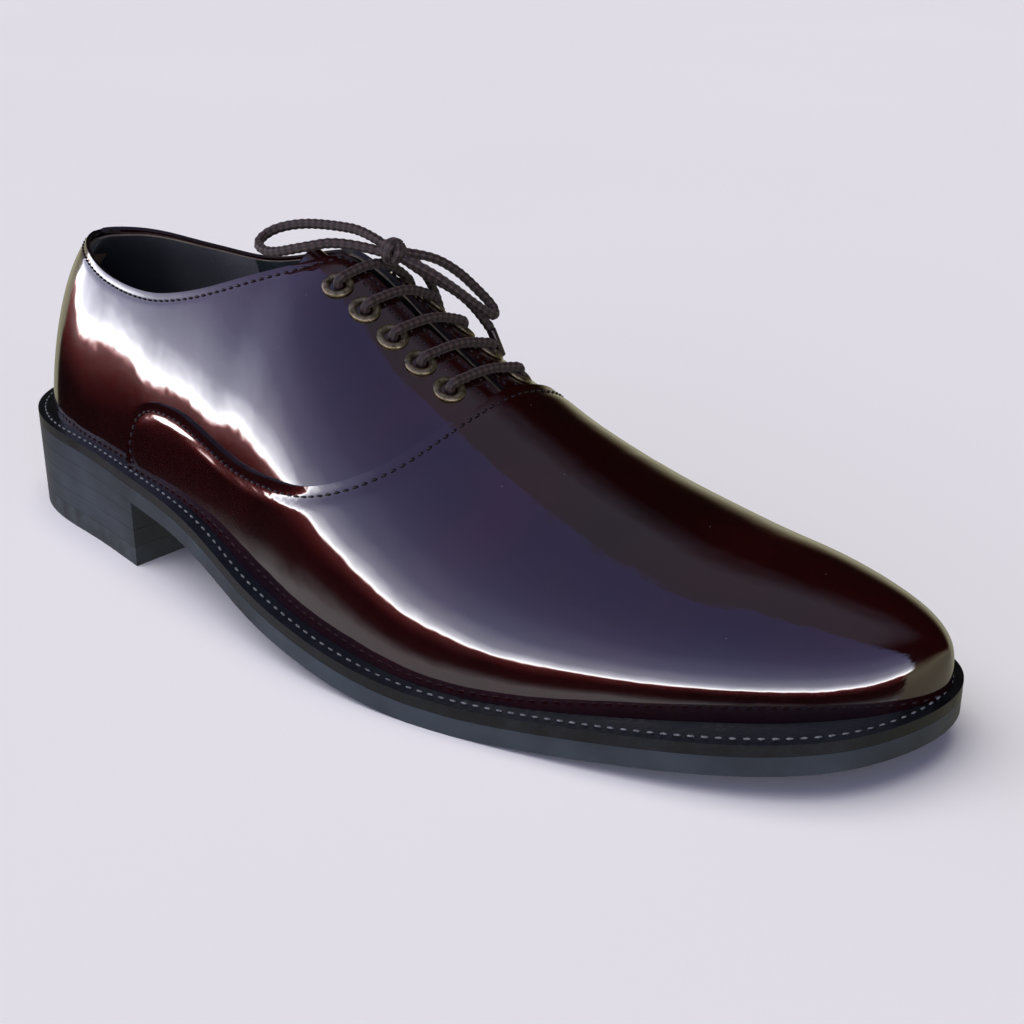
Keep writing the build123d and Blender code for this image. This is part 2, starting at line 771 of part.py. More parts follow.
with BuildPart() as lace_inner_runs:
    for side in (-1, 1):
        planes = eyelet_planes(side)
        for near, far in zip(planes, planes[1:]):
            middle = inner_run_from + lace_flat_t / 2
            start = near.origin - near.z_dir * middle
            end = far.origin - far.z_dir * middle
            along = end - start
            inset = along.normalized() * (lace_d / 2)
            with BuildSketch(Plane(origin=start - inset * 0.4, z_dir=along,
                                   x_dir=near.z_dir.cross(along))):
                RectangleRounded(lace_d * 1.2, lace_flat_t, lace_flat_t * 0.45)
            extrude(amount=along.length - lace_d * 0.72)
finish(lace_inner_runs, "lace_inner_runs")

knot_at = (-8.0, 4.4, 95.2)
knot_d = 8.0
with BuildPart() as lace_knot:
    with Locations(knot_at):
        Sphere(knot_d / 2)
finish(lace_knot, "lace_knot")

BOW_BACK = [knot_at, (-18.5, 5.4, 98.6), (-29.5, 3.9, 98.8), (-39.5, 0.9, 98.4),
            (-46.5, -3.6, 96.4), (-46.5, -9.6, 93.6), (-38.5, -12.1, 92.6),
            (-28.5, -9.6, 95.4), (-20.5, -1.6, 97.2), (-9.0, 3.4, 94.6)]
BOW_FRONT = [knot_at, (-3.5, 12.0, 93.8), (0.0, 19.4, 89.0), (3.0, 26.0, 81.6),
             (5.5, 28.9, 77.0), (8.5, 25.5, 75.8), (7.0, 20.4, 79.8), (4.0, 14.4, 85.5),
             (-1.5, 8.9, 91.1), (-7.6, 5.2, 94.0)]
LACE_END_FRONT = [knot_at, (-3.5, 11.0, 88.6), (0.5, 17.9, 84.0), (4.0, 22.9, 78.4),
                  (6.6, 25.9, 72.2)]
LACE_END_SIDE = [knot_at, (-13.5, 9.5, 95.0), (-15.5, 16.0, 91.5), (-16.5, 22.0, 87.0),
                 (-17.0, 27.0, 81.0), (-17.0, 30.5, 74.5), (-16.8, 31.6, 69.0)]
AGLETS = {"aglet_front": ((6.6, 25.9, 72.2), (8.8, 28.0, 64.5)),
          "aglet_side": ((-16.8, 31.6, 69.0), (-16.5, 31.9, 58.0))}
aglet_d = 2.6

for name, route in (("bow_loop_back", BOW_BACK), ("bow_loop_front", BOW_FRONT),
                    ("lace_end_front", LACE_END_FRONT), ("lace_end_side", LACE_END_SIDE)):
    finish(cord(route, lace_d), name)

for name, (top, tip) in AGLETS.items():
    direction = Vector(*tip) - Vector(*top)
    with BuildPart() as aglet:
        with BuildSketch(Plane(origin=top, z_dir=direction)):
            Circle(aglet_d / 2)
        extrude(amount=direction.length)
        fillet(aglet.edges().sort_by(Axis.Z)[0], aglet_d * 0.3)
    finish(aglet, name)
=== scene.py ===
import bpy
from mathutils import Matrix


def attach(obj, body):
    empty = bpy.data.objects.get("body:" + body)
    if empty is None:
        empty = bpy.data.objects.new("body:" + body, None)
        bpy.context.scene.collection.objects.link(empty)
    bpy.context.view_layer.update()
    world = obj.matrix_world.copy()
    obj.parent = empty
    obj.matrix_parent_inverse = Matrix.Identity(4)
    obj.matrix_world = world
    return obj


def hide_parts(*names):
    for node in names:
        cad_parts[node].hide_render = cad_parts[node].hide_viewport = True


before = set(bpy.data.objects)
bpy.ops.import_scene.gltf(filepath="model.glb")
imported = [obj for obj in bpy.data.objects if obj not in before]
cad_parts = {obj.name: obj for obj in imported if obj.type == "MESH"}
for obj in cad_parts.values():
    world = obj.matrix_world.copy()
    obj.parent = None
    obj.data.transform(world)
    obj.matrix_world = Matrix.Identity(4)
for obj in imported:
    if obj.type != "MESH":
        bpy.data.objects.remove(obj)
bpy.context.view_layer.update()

import functools
import math
import random

import bmesh
import bpy
from mathutils import Matrix, Vector

# A right-foot oxford in oxblood patent leather, laced and tied.  The toe points along +X, the
# medial side is +Y.  Pattern sizes are in millimetres and become metres as a mesh is placed.

# --- vamp ----------------------------------------------------------------------------------
# The one-piece forepart: patent leather lasted wet over the wooden last, its bottom edge drawn
# under and sewn to the welt.  Its back edge is folded, lapped over the quarters and stitched
# through both, which leaves a row of dimples with the thread in them.
random.seed(7)
MM = 0.001
shoe_length = 305.0
shoe_width = 106.0
heel_height = 22.0
toe_spring = 8.5
outsole_t = 5.0
welt_t = 3.0
upper_t = 1.3
bond = 0.08
quarter_in = upper_t + bond
pattern_length = 305.0
pattern_width = 106.0
last_back_x = 2.0
last_toe_x = 302.5
throat_x = 185.5
grade_x = shoe_length / pattern_length
grade_y = shoe_width / pattern_width

LAST = [
    (2, 0, 0, 30, 0), (5, 12.2, -0.3, 40, 0), (9, 17.4, -0.5, 46, 0), (15, 23, -1, 52, 0),
    (25, 28.5, -1.5, 60, 0), (40, 31, -3, 67.5, 0), (55, 31.8, -4.2, 71.5, 0),
    (75, 31.8, -6.8, 72.5, -1), (95, 31.8, -9.2, 73, -1), (115, 33, -11, 73.5, -1),
    (135, 36.2, -11.2, 75.5, -1.5), (160, 41.8, -8.8, 67, -1), (185, 46.2, -4.2, 58, 0),
    (205, 46.8, -0.8, 49, 2.5), (225, 44.5, 2.5, 40.5, 5.5), (245, 39.8, 5.8, 33, 9),
    (265, 33.2, 8.8, 27.5, 13), (280, 26.4, 11, 23, 15), (292, 18.8, 13.8, 18.5, 16),
    (299.5, 10, 16, 14.5, 16.5), (302.5, 0, 17.5, 10, 17.5),
]
# x, rise of the side wall, reach of the crown, bulge past the feather line (all shares)
FORM = [
    (2, 0.44, 0.50, -0.04), (60, 0.42, 0.47, -0.06), (120, 0.49, 0.46, 0.0),
    (160, 0.61, 0.56, 0.08), (200, 0.57, 0.50, 0.085), (250, 0.61, 0.54, 0.10),
    (302.5, 0.66, 0.54, 0.09),
]
# x, half width, centre y of the outsole
SOLE = [
    (0, 0, 0), (8, 21.5, -0.5), (25, 32.3, -1.3), (55, 34.8, -3.8), (85, 35.2, -8.2),
    (115, 36.7, -11.7), (145, 43, -11), (175, 49.5, -6.5), (200, 51.2, -2.2),
    (225, 48.9, 1.2), (255, 42.9, 4.2), (280, 34.4, 6.6), (297, 22.8, 10.8),
    (302.5, 13.2, 13.2), (305, 0, 15),
]
# x, share of the heel height, share of the toe spring: the outsole's underside
TREAD_BACK = [(0, 1.0), (40, 0.98), (80, 0.91), (110, 0.80), (140, 0.42), (165, 0.19),
              (190, 0.025), (200, 0)]
TREAD_FRONT = [(212, 0), (225, 0.09), (250, 0.37), (280, 0.76), (305, 1.0)]
tread_flat_from = 200.0
tread_flat_to = 212.0

# x and height over the feather line, seen from the side
TOPLINE_LATERAL = [(-8, 54), (10, 52), (25, 50.6), (50, 47.3), (70, 47.6), (85, 50.8),
                   (100, 56.2), (116, 64.5), (133, 75.5), (150, 89)]
TOPLINE_MEDIAL = [(-8, 54), (10, 52), (25, 51.2), (50, 50.2), (70, 51.5), (85, 54),
                  (100, 58.4), (116, 65.5), (133, 75.5), (150, 89)]
VAMP_SEAM = [(76, -4), (73.5, 6), (74.5, 12), (78, 18), (85, 22), (98, 23.6), (113, 23.2),
             (126, 24.6), (142, 29), (157, 33.6), (169, 39.5), (178, 46), (183, 52.5),
             (185.5, 60), (186, 75)]


def smooth(table, x, column):
    """Read a column between its rows, on a smooth curve that turns steeply at both ends."""
    first, last = table[0][0], table[-1][0]
    turn = [math.acos(1 - 2 * (row[0] - first) / (last - first)) for row in table]
    value = [row[column] for row in table]
    share = min(max((x - first) / (last - first), 0.0), 1.0)
    at = math.acos(1 - 2 * share)
    step = [b - a for a, b in zip(turn, turn[1:])]
    rate = [(b - a) / h for a, b, h in zip(value, value[1:], step)]
    slope = [rate[0]]
    for i in range(1, len(table) - 1):
        slope.append((rate[i - 1] * step[i] + rate[i] * step[i - 1]) / (step[i - 1] + step[i]))
    slope.append(rate[-1])
    i = 0
    while i < len(step) - 1 and at > turn[i + 1]:
        i += 1
    s = (at - turn[i]) / step[i]
    near = (1 + 2 * s) * (1 - s) ** 2 * value[i] + s * (1 - s) ** 2 * step[i] * slope[i]
    far = s * s * (3 - 2 * s) * value[i + 1] + s * s * (s - 1) * step[i] * slope[i + 1]
    return near + far


def tread(x):
    """Height of the outsole's underside over the floor, at a pattern x."""
    if x < tread_flat_from:
        return heel_height * max(smooth(TREAD_BACK, x, 1), 0.0)
    if x > tread_flat_to:
        return toe_spring * max(smooth(TREAD_FRONT, x, 1), 0.0)
    return 0.0


def feather(x):
    """Height of the feather line over the floor."""
    return tread(x) + outsole_t + welt_t


outline_y = [smooth(SOLE, x, 2) + side * smooth(SOLE, x, 1)
             for x in range(0, 306, 5) for side in (-1, 1)]
middle_y = (max(outline_y) + min(outline_y)) / 2 * grade_y


def place_x(x):
    return x * grade_x - shoe_length / 2


def place_y(y):
    return y * grade_y - middle_y


@functools.lru_cache(maxsize=None)
def last_section(x, inset):
    """The two Bezier halves of the last across a pattern x, its skin moved in by inset."""
    length = last_toe_x - last_back_x
    shrink = inset / grade_x
    source = last_back_x + (x - last_back_x - shrink) * length / (length - 2 * shrink)
    half = smooth(LAST, source, 1) * grade_y * (1 - inset / 40)
    middle = place_y(smooth(LAST, source, 2))
    top = feather(x) + smooth(LAST, source, 3) - inset
    ridge = place_y(smooth(LAST, source, 4))
    base = feather(x)
    halves = []
    for side in (-1, 1):
        foot = middle + side * half
        wall = (foot + side * smooth(FORM, source, 3) * half,
                base + smooth(FORM, source, 1) * (top - base))
        crown = (ridge + smooth(FORM, source, 2) * (foot - ridge), top)
        halves.append([(foot, base), wall, crown, (ridge, top)])
    return halves


def last_point(x, v, inset=0.0):
    """A point of the last's skin: v is -1 at the lateral feather, 0 on the ridge, 1 medial."""
    lateral, medial = last_section(x, inset)
    curve = lateral if v < 0 else medial
    s = min(abs(v), 1.0)
    t = 1 - s
    mix = (s ** 3, 3 * s * s * t, 3 * s * t * t, t ** 3)
    y = sum(m * p[0] for m, p in zip(mix, curve))
    z = sum(m * p[1] for m, p in zip(mix, curve))
    return Vector((place_x(x), y, z)) * MM


def last_slopes(x, v, inset=0.0):
    """How the skin runs for one millimetre of x and for one unit of v."""
    v = max(-0.98, min(0.98, v))
    along = (last_point(x + 0.5, v, inset) - last_point(x - 0.5, v, inset))
    across = (last_point(x, v + 0.01, inset) - last_point(x, v - 0.01, inset)) / 0.02
    return along, across


def last_normal(x, v, inset=0.0):
    along, across = last_slopes(x, v, inset)
    return along.cross(across).normalized()


def find_v(x, side, inset, reached):
    """The v on one side where reached(point) first holds, walking down from the ridge."""
    low, high = 0.0, 1.0
    for _ in range(26):
        mid = (low + high) / 2
        if reached(last_point(x, side * mid, inset)):
            high = mid
        else:
            low = mid
    return side * high


def v_at_height(x, height, side, inset=0.0):
    level = (feather(x) + height) * MM
    return find_v(x, side, inset, lambda p: p.z <= level)


def v_at_y(x, y, side, inset=0.0):
    return find_v(x, side, inset, lambda p: side * p.y >= side * y * MM)


def through(points, steps=10):
    """A smooth line through points, each next stretch leaning on the neighbours."""
    ends = [points[0], *points, points[-1]]
    line = []
    for a, b, c, d in zip(ends, ends[1:], ends[2:], ends[3:]):
        for i in range(steps):
            t = i / steps
            line.append(tuple(0.5 * (2 * q + (r - p) * t + (2 * p - 5 * q + 4 * r - s) * t * t
                                     + (3 * q - p - 3 * r + s) * t ** 3)
                              for p, q, r, s in zip(a, b, c, d)))
    line.append(tuple(points[-1]))
    return line


def seam_line(inset=0.0):
    """The vamp's back edge as (x, v), from the lateral feather over the ridge to the medial."""
    side_view = [p for p in through(VAMP_SEAM, 14) if p[1] >= 0]
    sides = []
    for side in (-1, 1):
        line = []
        for x, height in side_view:
            v = v_at_height(x, height, side, inset)
            line.append((x, v))
            if abs(v) < 0.02:
                break
        sides.append(line)
    return sides[0][:-1] + [(sides[0][-1][0], 0.0)] + sides[1][-2::-1]


def shifted(line, distance, inset=0.0):
    """A line of (x, v) moved sideways over the skin, to its left as seen in the flat."""
    moved = []
    for i, (x, v) in enumerate(line):
        before, after = line[max(i - 1, 0)], line[min(i + 1, len(line) - 1)]
        run = last_point(*after, inset) - last_point(*before, inset)
        along, across = last_slopes(x, v, inset)
        out = along.cross(across).normalized()
        step = out.cross(run).normalized() * distance * MM
        aa, ab, bb = along.dot(along), along.dot(across), across.dot(across)
        ra, rb = step.dot(along), step.dot(across)
        det = aa * bb - ab * ab
        moved.append((x + (ra * bb - rb * ab) / det, v + (rb * aa - ra * ab) / det))
    return moved


flat_height = 85.0        # one unit of v, in flat millimetres


def flat_panel(bm, x_from, x_to, v_from, v_to, columns, rows, crowd_toe):
    """A grid laid flat, its columns crowded where the last turns round the heel or the toe."""
    bmesh.ops.create_grid(bm, x_segments=columns, y_segments=rows, size=1)
    for vert in bm.verts:
        share = (vert.co.x + 1) / 2
        if crowd_toe:
            x = x_to - (x_to - x_from) * (1 - math.cos((1 - share) * math.pi / 2))
        else:
            x = x_from + (x_to - x_from) * (1 - math.cos(share * math.pi / 2))
        v = v_from + (v_to - v_from) * (vert.co.y + 1) / 2
        vert.co = (x, v * flat_height, 0)


def face_out(bm):
    """Normals away from the inside of the shoe."""
    bmesh.ops.recalc_face_normals(bm, faces=bm.faces)
    outward = 0.0
    for face in bm.faces:
        centre = face.calc_center_median()
        outward += face.normal.dot(centre - Vector((centre.x * 0.8, 0, 0.03))) * face.calc_area()
    if outward < 0:
        bmesh.ops.reverse_faces(bm, faces=bm.faces)


def finish_mesh(bm, name, material, smooth=True):
    mesh = bpy.data.meshes.new(name)
    bm.to_mesh(mesh)
    bm.free()
    for poly in mesh.polygons:
        poly.use_smooth = smooth
    mesh.materials.append(material)
    piece = bpy.data.objects.new(name, mesh)
    bpy.context.scene.collection.objects.link(piece)
    return piece


def thicken(piece, thickness, edge, edge_material):
    """Leather of one thickness, laid inwards, its cut edge rounded over and given the edge material;
    on the patent pieces that is a dark edge ink, partly painted shade along the seams.
    """
    piece.data.materials.append(edge_material)
    shell = piece.modifiers.new("leather thickness", "SOLIDIFY")
    shell.thickness = thickness * MM
    shell.offset = -1
    shell.material_offset_rim = 1
    round_over = piece.modifiers.new("rounded edge", "BEVEL")
    round_over.width = edge * MM
    round_over.segments = 2
    round_over.limit_method = "ANGLE"
    round_over.angle_limit = math.radians(55)
    round_over.harden_normals = True


def linear(code):
    """An sRGB hex colour as linear light."""
    values = [int(code[i:i + 2], 16) / 255 for i in (1, 3, 5)]
    return [*(c / 12.92 if c <= 0.04045 else ((c + 0.055) / 1.055) ** 2.4 for c in values), 1.0]


def add_node(tree, kind, inputs=(), **settings):
    """A node with its settings; each input is a value or another node's output."""
    made = tree.nodes.new(kind)
    for name, value in settings.items():
        setattr(made, name, value)
    for socket, value in dict(inputs).items():
        if isinstance(value, bpy.types.NodeSocket):
            tree.links.new(value, made.inputs[socket])
        else:
            made.inputs[socket].default_value = value
    return made


def new_material(name):
    """An empty material with its shader, ready for its nodes."""
    material = bpy.data.materials.new(name)
    material.use_nodes = True
    tree = material.node_tree
    return material, tree, tree.nodes["Principled BSDF"]


def ramp(tree, factor, stops):
    made = add_node(tree, "ShaderNodeValToRGB", {"Fac": factor})
    elements = made.color_ramp.elements
    while len(elements) < len(stops):
        elements.new(0.5)
    for element, (place, colour) in zip(elements, stops):
        element.position = place
        element.color = linear(colour) if isinstance(colour, str) else [*[colour] * 3, 1]
    return made.outputs["Color"]


# Oxblood patent leather, finished with a thick poured polyurethane gloss: the eye gets a deep
# wine base, a mirror over it with the slow ripple of the leather beneath, and settled dust.
patent, tree, shader = new_material("oxblood_patent_leather")
ripple_mm = 16.0
grain_mm = 1.6
dust_mm = 6.5
coords = add_node(tree, "ShaderNodeTexCoord").outputs["Object"]
cloud = add_node(tree, "ShaderNodeTexNoise",
                 {"Vector": coords, "Scale": 1 / (30 * MM), "Detail": 3.0})
base = ramp(tree, cloud.outputs["Fac"], [(0.3, "#110203"), (0.7, "#220405")])
speck = add_node(tree, "ShaderNodeTexVoronoi", {"Vector": coords, "Scale": 1 / (dust_mm * MM)})
dust = ramp(tree, speck.outputs["Distance"], [(0.018, 1.0), (0.028, 0.0)])
facing_up = add_node(tree, "ShaderNodeSeparateXYZ",
                     {"Vector": add_node(tree, "ShaderNodeNewGeometry").outputs["Normal"]})
settled = add_node(tree, "ShaderNodeMath", {0: facing_up.outputs["Z"], 1: 0.6},
                   operation="MULTIPLY", use_clamp=True)
dust_here = add_node(tree, "ShaderNodeMath", {0: dust, 1: settled.outputs[0]},
                     operation="MULTIPLY", use_clamp=True)
colour = add_node(tree, "ShaderNodeMix", {"Factor": dust_here.outputs[0], 6: base,
                                          7: linear("#7a7274")}, data_type="RGBA")
slow = add_node(tree, "ShaderNodeTexNoise",
                {"Vector": coords, "Scale": 1 / (ripple_mm * MM), "Detail": 2.0})
fine = add_node(tree, "ShaderNodeTexNoise",
                {"Vector": coords, "Scale": 1 / (grain_mm * MM), "Detail": 2.0})
wave = add_node(tree, "ShaderNodeBump", {"Height": slow.outputs["Fac"], "Strength": 0.5,
                                         "Distance": 0.35 * MM})
grain = add_node(tree, "ShaderNodeBump", {"Height": fine.outputs["Fac"], "Strength": 0.25,
                                          "Distance": 0.012 * MM,
                                          "Normal": wave.outputs["Normal"]})
gloss = ramp(tree, fine.outputs["Fac"], [(0.3, 0.16), (0.8, 0.24)])
tree.links.new(colour.outputs[2], shader.inputs["Base Color"])
tree.links.new(gloss, shader.inputs["Roughness"])
tree.links.new(grain.outputs["Normal"], shader.inputs["Normal"])
tree.links.new(wave.outputs["Normal"], shader.inputs["Coat Normal"])
shader.inputs["Coat Weight"].default_value = 1.0
shader.inputs["Coat Roughness"].default_value = 0.015
shader.inputs["Coat IOR"].default_value = 2.1
shader.inputs["IOR"].default_value = 1.5
shader.inputs["Specular IOR Level"].default_value = 0.12

# Edge ink on the cut leather: black-brown, dull, slightly pebbled. Its darkness is partly painted
# shade:
# the dark rim stands in for the contact shade along the seams and edges.
edge_ink_and_shade, tree, shader = new_material("inked_edge_and_painted_shade")
coords = add_node(tree, "ShaderNodeTexCoord").outputs["Object"]
pebble = add_node(tree, "ShaderNodeTexNoise", {"Vector": coords, "Scale": 1 / (0.6 * MM)})
tree.links.new(ramp(tree, pebble.outputs["Fac"], [(0.3, "#0a0506"), (0.7, "#191012")]),
               shader.inputs["Base Color"])
tree.links.new(ramp(tree, pebble.outputs["Fac"], [(0.3, 0.4), (0.7, 0.6)]),
               shader.inputs["Roughness"])

vamp_back_x = 68.0
stitch_in = 2.5           # from the folded edge to the stitch line
crease_depth = 0.42
crease_width = 1.0
seam = seam_line()
vamp_stitch_line = shifted(seam, -stitch_in)
bm = bmesh.new()
flat_panel(bm, vamp_back_x, last_toe_x, -1, 1, 230, 136, crowd_toe=True)
border = {vert for vert in bm.verts if vert.is_boundary}
seam_flat = [Vector((x, v * flat_height, 0)) for x, v in seam]


def on_vamp(point):
    """True in front of the seam: crossings counted towards the toe."""
    crossings = 0
    for a, b in zip(seam_flat, seam_flat[1:]):
        if (a.y > point.y) != (b.y > point.y):
            if a.x + (point.y - a.y) * (b.x - a.x) / (b.y - a.y) > point.x:
                crossings += 1
    return crossings % 2 == 0


def nearest_on(line, point):
    """The nearest point of a line of flat points."""
    best = None
    for a, b in zip(line, line[1:]):
        run = b - a
        share = max(0.0, min(1.0, (point - a).dot(run) / max(run.length_squared, 1e-9)))
        spot = a + run * share
        if best is None or (spot - point).length_squared < best[0]:
            best = ((spot - point).length_squared, spot)
    return best[1]


cut = [face for face in bm.faces if not on_vamp(face.calc_center_median())]
bmesh.ops.delete(bm, geom=cut, context="FACES")
border = {vert for vert in border if vert.is_valid}
edge_verts = [vert for vert in bm.verts if vert.is_boundary and vert not in border]
for vert in edge_verts:
    vert.co = nearest_on(seam_flat, vert.co)
settle = {other for vert in edge_verts for edge in vert.link_edges
          for other in (edge.other_vert(vert),) if not other.is_boundary}
settle |= {other for vert in list(settle) for edge in vert.link_edges
           for other in (edge.other_vert(vert),) if not other.is_boundary}
for _ in range(4):
    bmesh.ops.smooth_vert(bm, verts=list(settle), factor=0.5, use_axis_x=True, use_axis_y=True)
stitch_flat = [Vector((x, v * flat_height, 0)) for x, v in vamp_stitch_line]
near_seam = {}
for vert in bm.verts:
    if vert.co.x < throat_x + 12:
        away = (nearest_on(stitch_flat, vert.co) - vert.co).length
        near_seam[vert.index] = crease_depth * math.exp(-(away / crease_width) ** 2)
bm.verts.index_update()
for vert in bm.verts:
    x, v = vert.co.x, vert.co.y / flat_height
    sink = near_seam.get(vert.index, 0.0)
    if abs(x - last_toe_x) < 0.01:
        vert.co = last_point(x, v)
    else:
        vert.co = last_point(x, v) - last_normal(x, v) * sink * MM
bmesh.ops.remove_doubles(bm, verts=bm.verts, dist=0.02 * MM)
face_out(bm)
vamp = finish_mesh(bm, "vamp_patent", patent)
# The dark rim along the vamp's lapped back edge is painted shade for the contact line on the
# quarters.
thicken(vamp, upper_t, 0.3, edge_ink_and_shade)
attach(vamp, "shoe")
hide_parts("vamp")

# --- quarters ------------------------------------------------------------------------------
# The two rear halves, cut from the same patent leather and closed up the back.  Their topline
# is folded over and stitched, and their facings nearly meet over the tongue.
quarter_columns = 210
quarter_rows = 62
seam_lap = 8.0
facing_gap_top = 6.0
facing_gap_throat = 2.4
gap_from_x = 60.0
toplines = {-1: through(TOPLINE_LATERAL, 12), 1: through(TOPLINE_MEDIAL, 12)}
side_name = {-1: "lateral", 1: "medial"}


def read_line(line, x):
    """The height of a line of (x, height) points at x."""
    for (xa, ha), (xb, hb) in zip(line, line[1:]):
        if xa <= x <= xb and xb > xa:
            return ha + (hb - ha) * (x - xa) / (xb - xa)
    return line[-1][1] if x > line[-1][0] else line[0][1]


def upper_edge(x, side):
    """The v of a quarter's top edge: its topline, then its facing."""
    top = abs(v_at_height(x, read_line(toplines[side], x), side, quarter_in)) if x < 150 else 0.0
    share = min((x - gap_from_x) / (throat_x - gap_from_x), 1.0)
    gap = facing_gap_top + (facing_gap_throat / 2 - facing_gap_top) * share
    ridge = place_y(-1) * (1 - share) + place_y(0) * share
    facing = abs(v_at_y(x, ridge + side * gap, side, quarter_in)) if x > 100 else 0.0
    return max(top, facing)


lap_view = [(x + seam_lap * 0.6, height - seam_lap * 0.8) for x, height in through(VAMP_SEAM, 8)]
lap_view.append((lap_view[-1][0], 120.0))


def behind_lap(x, v, side):
    """True where the quarter is still needed, behind its cut edge under the vamp."""
    height = last_point(x, v, quarter_in).z / MM - feather(x)
    crossings = 0
    for (xa, ha), (xb, hb) in zip(lap_view, lap_view[1:]):
        if (ha > height) != (hb > height):
            if xa + (height - ha) * (xb - xa) / (hb - ha) > x:
                crossings += 1
    return crossings % 2 == 1



def side_panel(bm, side, x_from, x_to, columns, rows):
    """A flat grid on one side, its top row on the quarter's top edge, its last on the feather."""
    piece = bmesh.new()
    flat_panel(piece, x_from, x_to, 0, 1, columns, rows, crowd_toe=False)
    tops = {}
    for vert in piece.verts:
        x = round(vert.co.x, 5)
        if x not in tops:
            tops[x] = upper_edge(x, side)
        down = vert.co.y / flat_height
        vert.co = (x, side * (tops[x] + (1 - tops[x]) * down), 0)
    sheet = bpy.data.meshes.new("flat")
    piece.to_mesh(sheet)
    piece.free()
    bm.from_mesh(sheet)
    bpy.data.meshes.remove(sheet)


quarter_back_x = last_back_x + quarter_in
quarter_front_x = throat_x + 4.5
hem_depth = 0.22          # the folded hem swells between the edge and its stitches
for side in (-1, 1):
    bm = bmesh.new()
    side_panel(bm, side, quarter_back_x, quarter_front_x, quarter_columns, quarter_rows)
    gone = [face for face in bm.faces
            if not behind_lap(face.calc_center_median().x, face.calc_center_median().y, side)]
    bmesh.ops.delete(bm, geom=gone, context="FACES")
    hem = [last_point(x, side * upper_edge(x, side), quarter_in) for x in range(13, 187)]
    for vert in bm.verts:
        x, v = vert.co.x, vert.co.y
        spot = last_point(x, v, quarter_in)
        if abs(v) < 0.75 and x > 12:
            away = min((spot - p).length for p in hem[max(0, int(x) - 18):int(x) - 6]) / MM
            sink = hem_depth * math.exp(-((away - 2.1) / 0.8) ** 2)
            spot -= last_normal(x, v, quarter_in) * sink * MM
        vert.co = spot
    bmesh.ops.remove_doubles(bm, verts=bm.verts, dist=0.02 * MM)
    face_out(bm)
    quarter = finish_mesh(bm, f"quarter_{side_name[side]}_patent", patent)
    thicken(quarter, upper_t, 0.35, edge_ink_and_shade)
    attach(quarter, "shoe")
    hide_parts(f"quarter_{side_name[side]}")

# --- eyelets -------------------------------------------------------------------------------
# Five antique-brass rings through each facing, pressed over from behind by a setting punch.
eyelet_count = 5
eyelet_first_x = 139.0
eyelet_step_x = 9.5
eyelet_from_ridge = 12.0
medial_eyelet_lead = 1.5
eyelet_hole_r = 2.2
eyelet_flange_r = 4.2
flange_lift = 0.2
ring_back = 4.4           # from the leather's face to the rolled rim behind
eyelet_steps = 40

# Antique brass, tumbled in dark lacquer and rubbed back: dull gold on the crown of the ring,
# brown-black in the low places.
antique_brass, tree, shader = new_material("antique_brass")
coords = add_node(tree, "ShaderNodeTexCoord").outputs["Object"]
tarnish = add_node(tree, "ShaderNodeTexNoise",
                   {"Vector": coords, "Scale": 1 / (1.5 * MM), "Detail": 4.0})
brass = ramp(tree, tarnish.outputs["Fac"], [(0.3, "#3c3626"), (0.5, "#8d8163"),
                                            (0.75, "#b3a683")])
scuff = ramp(tree, tarnish.outputs["Fac"], [(0.3, 0.5), (0.7, 0.28)])
tree.links.new(brass, shader.inputs["Base Color"])
tree.links.new(scuff, shader.inputs["Roughness"])
shader.inputs["Metallic"].default_value = 0.9


def eyelet_places(side):
    """Where each ring of one row sits: its middle on the leather and the way it faces."""
    places = []
    for i in range(eyelet_count):
        lead = medial_eyelet_lead if side > 0 else 0.0
        x = eyelet_first_x + lead + eyelet_step_x * i
        y = place_y(smooth(LAST, x, 4)) + side * eyelet_from_ridge
        v = v_at_y(x, y, side, quarter_in)
        places.append((last_point(x, v, quarter_in), last_normal(x, v, quarter_in)))
    return places


ring_profile = [(eyelet_hole_r, -ring_back), (eyelet_hole_r, flange_lift + 0.15),
                (eyelet_hole_r + 0.3, flange_lift + 0.6), (eyelet_hole_r + 0.8, flange_lift + 0.8),
                (eyelet_flange_r - 0.7, flange_lift + 0.7),
                (eyelet_flange_r - 0.15, flange_lift + 0.4), (eyelet_flange_r, flange_lift),
                (eyelet_flange_r - 0.3, -0.15), (eyelet_hole_r + 0.4, -0.25),
                (eyelet_hole_r + 0.4, -ring_back), (eyelet_hole_r, -ring_back)]
for side in (-1, 1):
    bm = bmesh.new()
    for middle, out in eyelet_places(side):
        turn = out.to_track_quat("Z", "Y").to_matrix().to_4x4()
        stand = Matrix.Translation(middle) @ turn
        dots = [bm.verts.new(stand @ (Vector((r, 0, h)) * MM)) for r, h in ring_profile]
        lines = [bm.edges.new(pair) for pair in zip(dots, dots[1:])]
        bmesh.ops.spin(bm, geom=dots + lines, cent=middle, axis=out, angle=2 * math.pi,
                       steps=eyelet_steps, use_merge=True)
    bmesh.ops.remove_doubles(bm, verts=bm.verts, dist=0.01 * MM)
    bmesh.ops.recalc_face_normals(bm, faces=bm.faces)
    rings = finish_mesh(bm, f"eyelet_rings_{side_name[side]}", antique_brass)
    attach(rings, "shoe")
    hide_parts(f"eyelets_{side_name[side]}")

# --- tongue --------------------------------------------------------------------------------
# A long tab of the same patent leather under the facings, sewn in at the throat.  Its free end
# is rounded and lifts a little over the instep, where the bow rests.
tongue_top_x = 117.0
tongue_t = 1.0
tongue_drop = 8.62
tongue_corner = 10.0
tongue_lift_from = 140.0
tongue_lift_by = 3.2


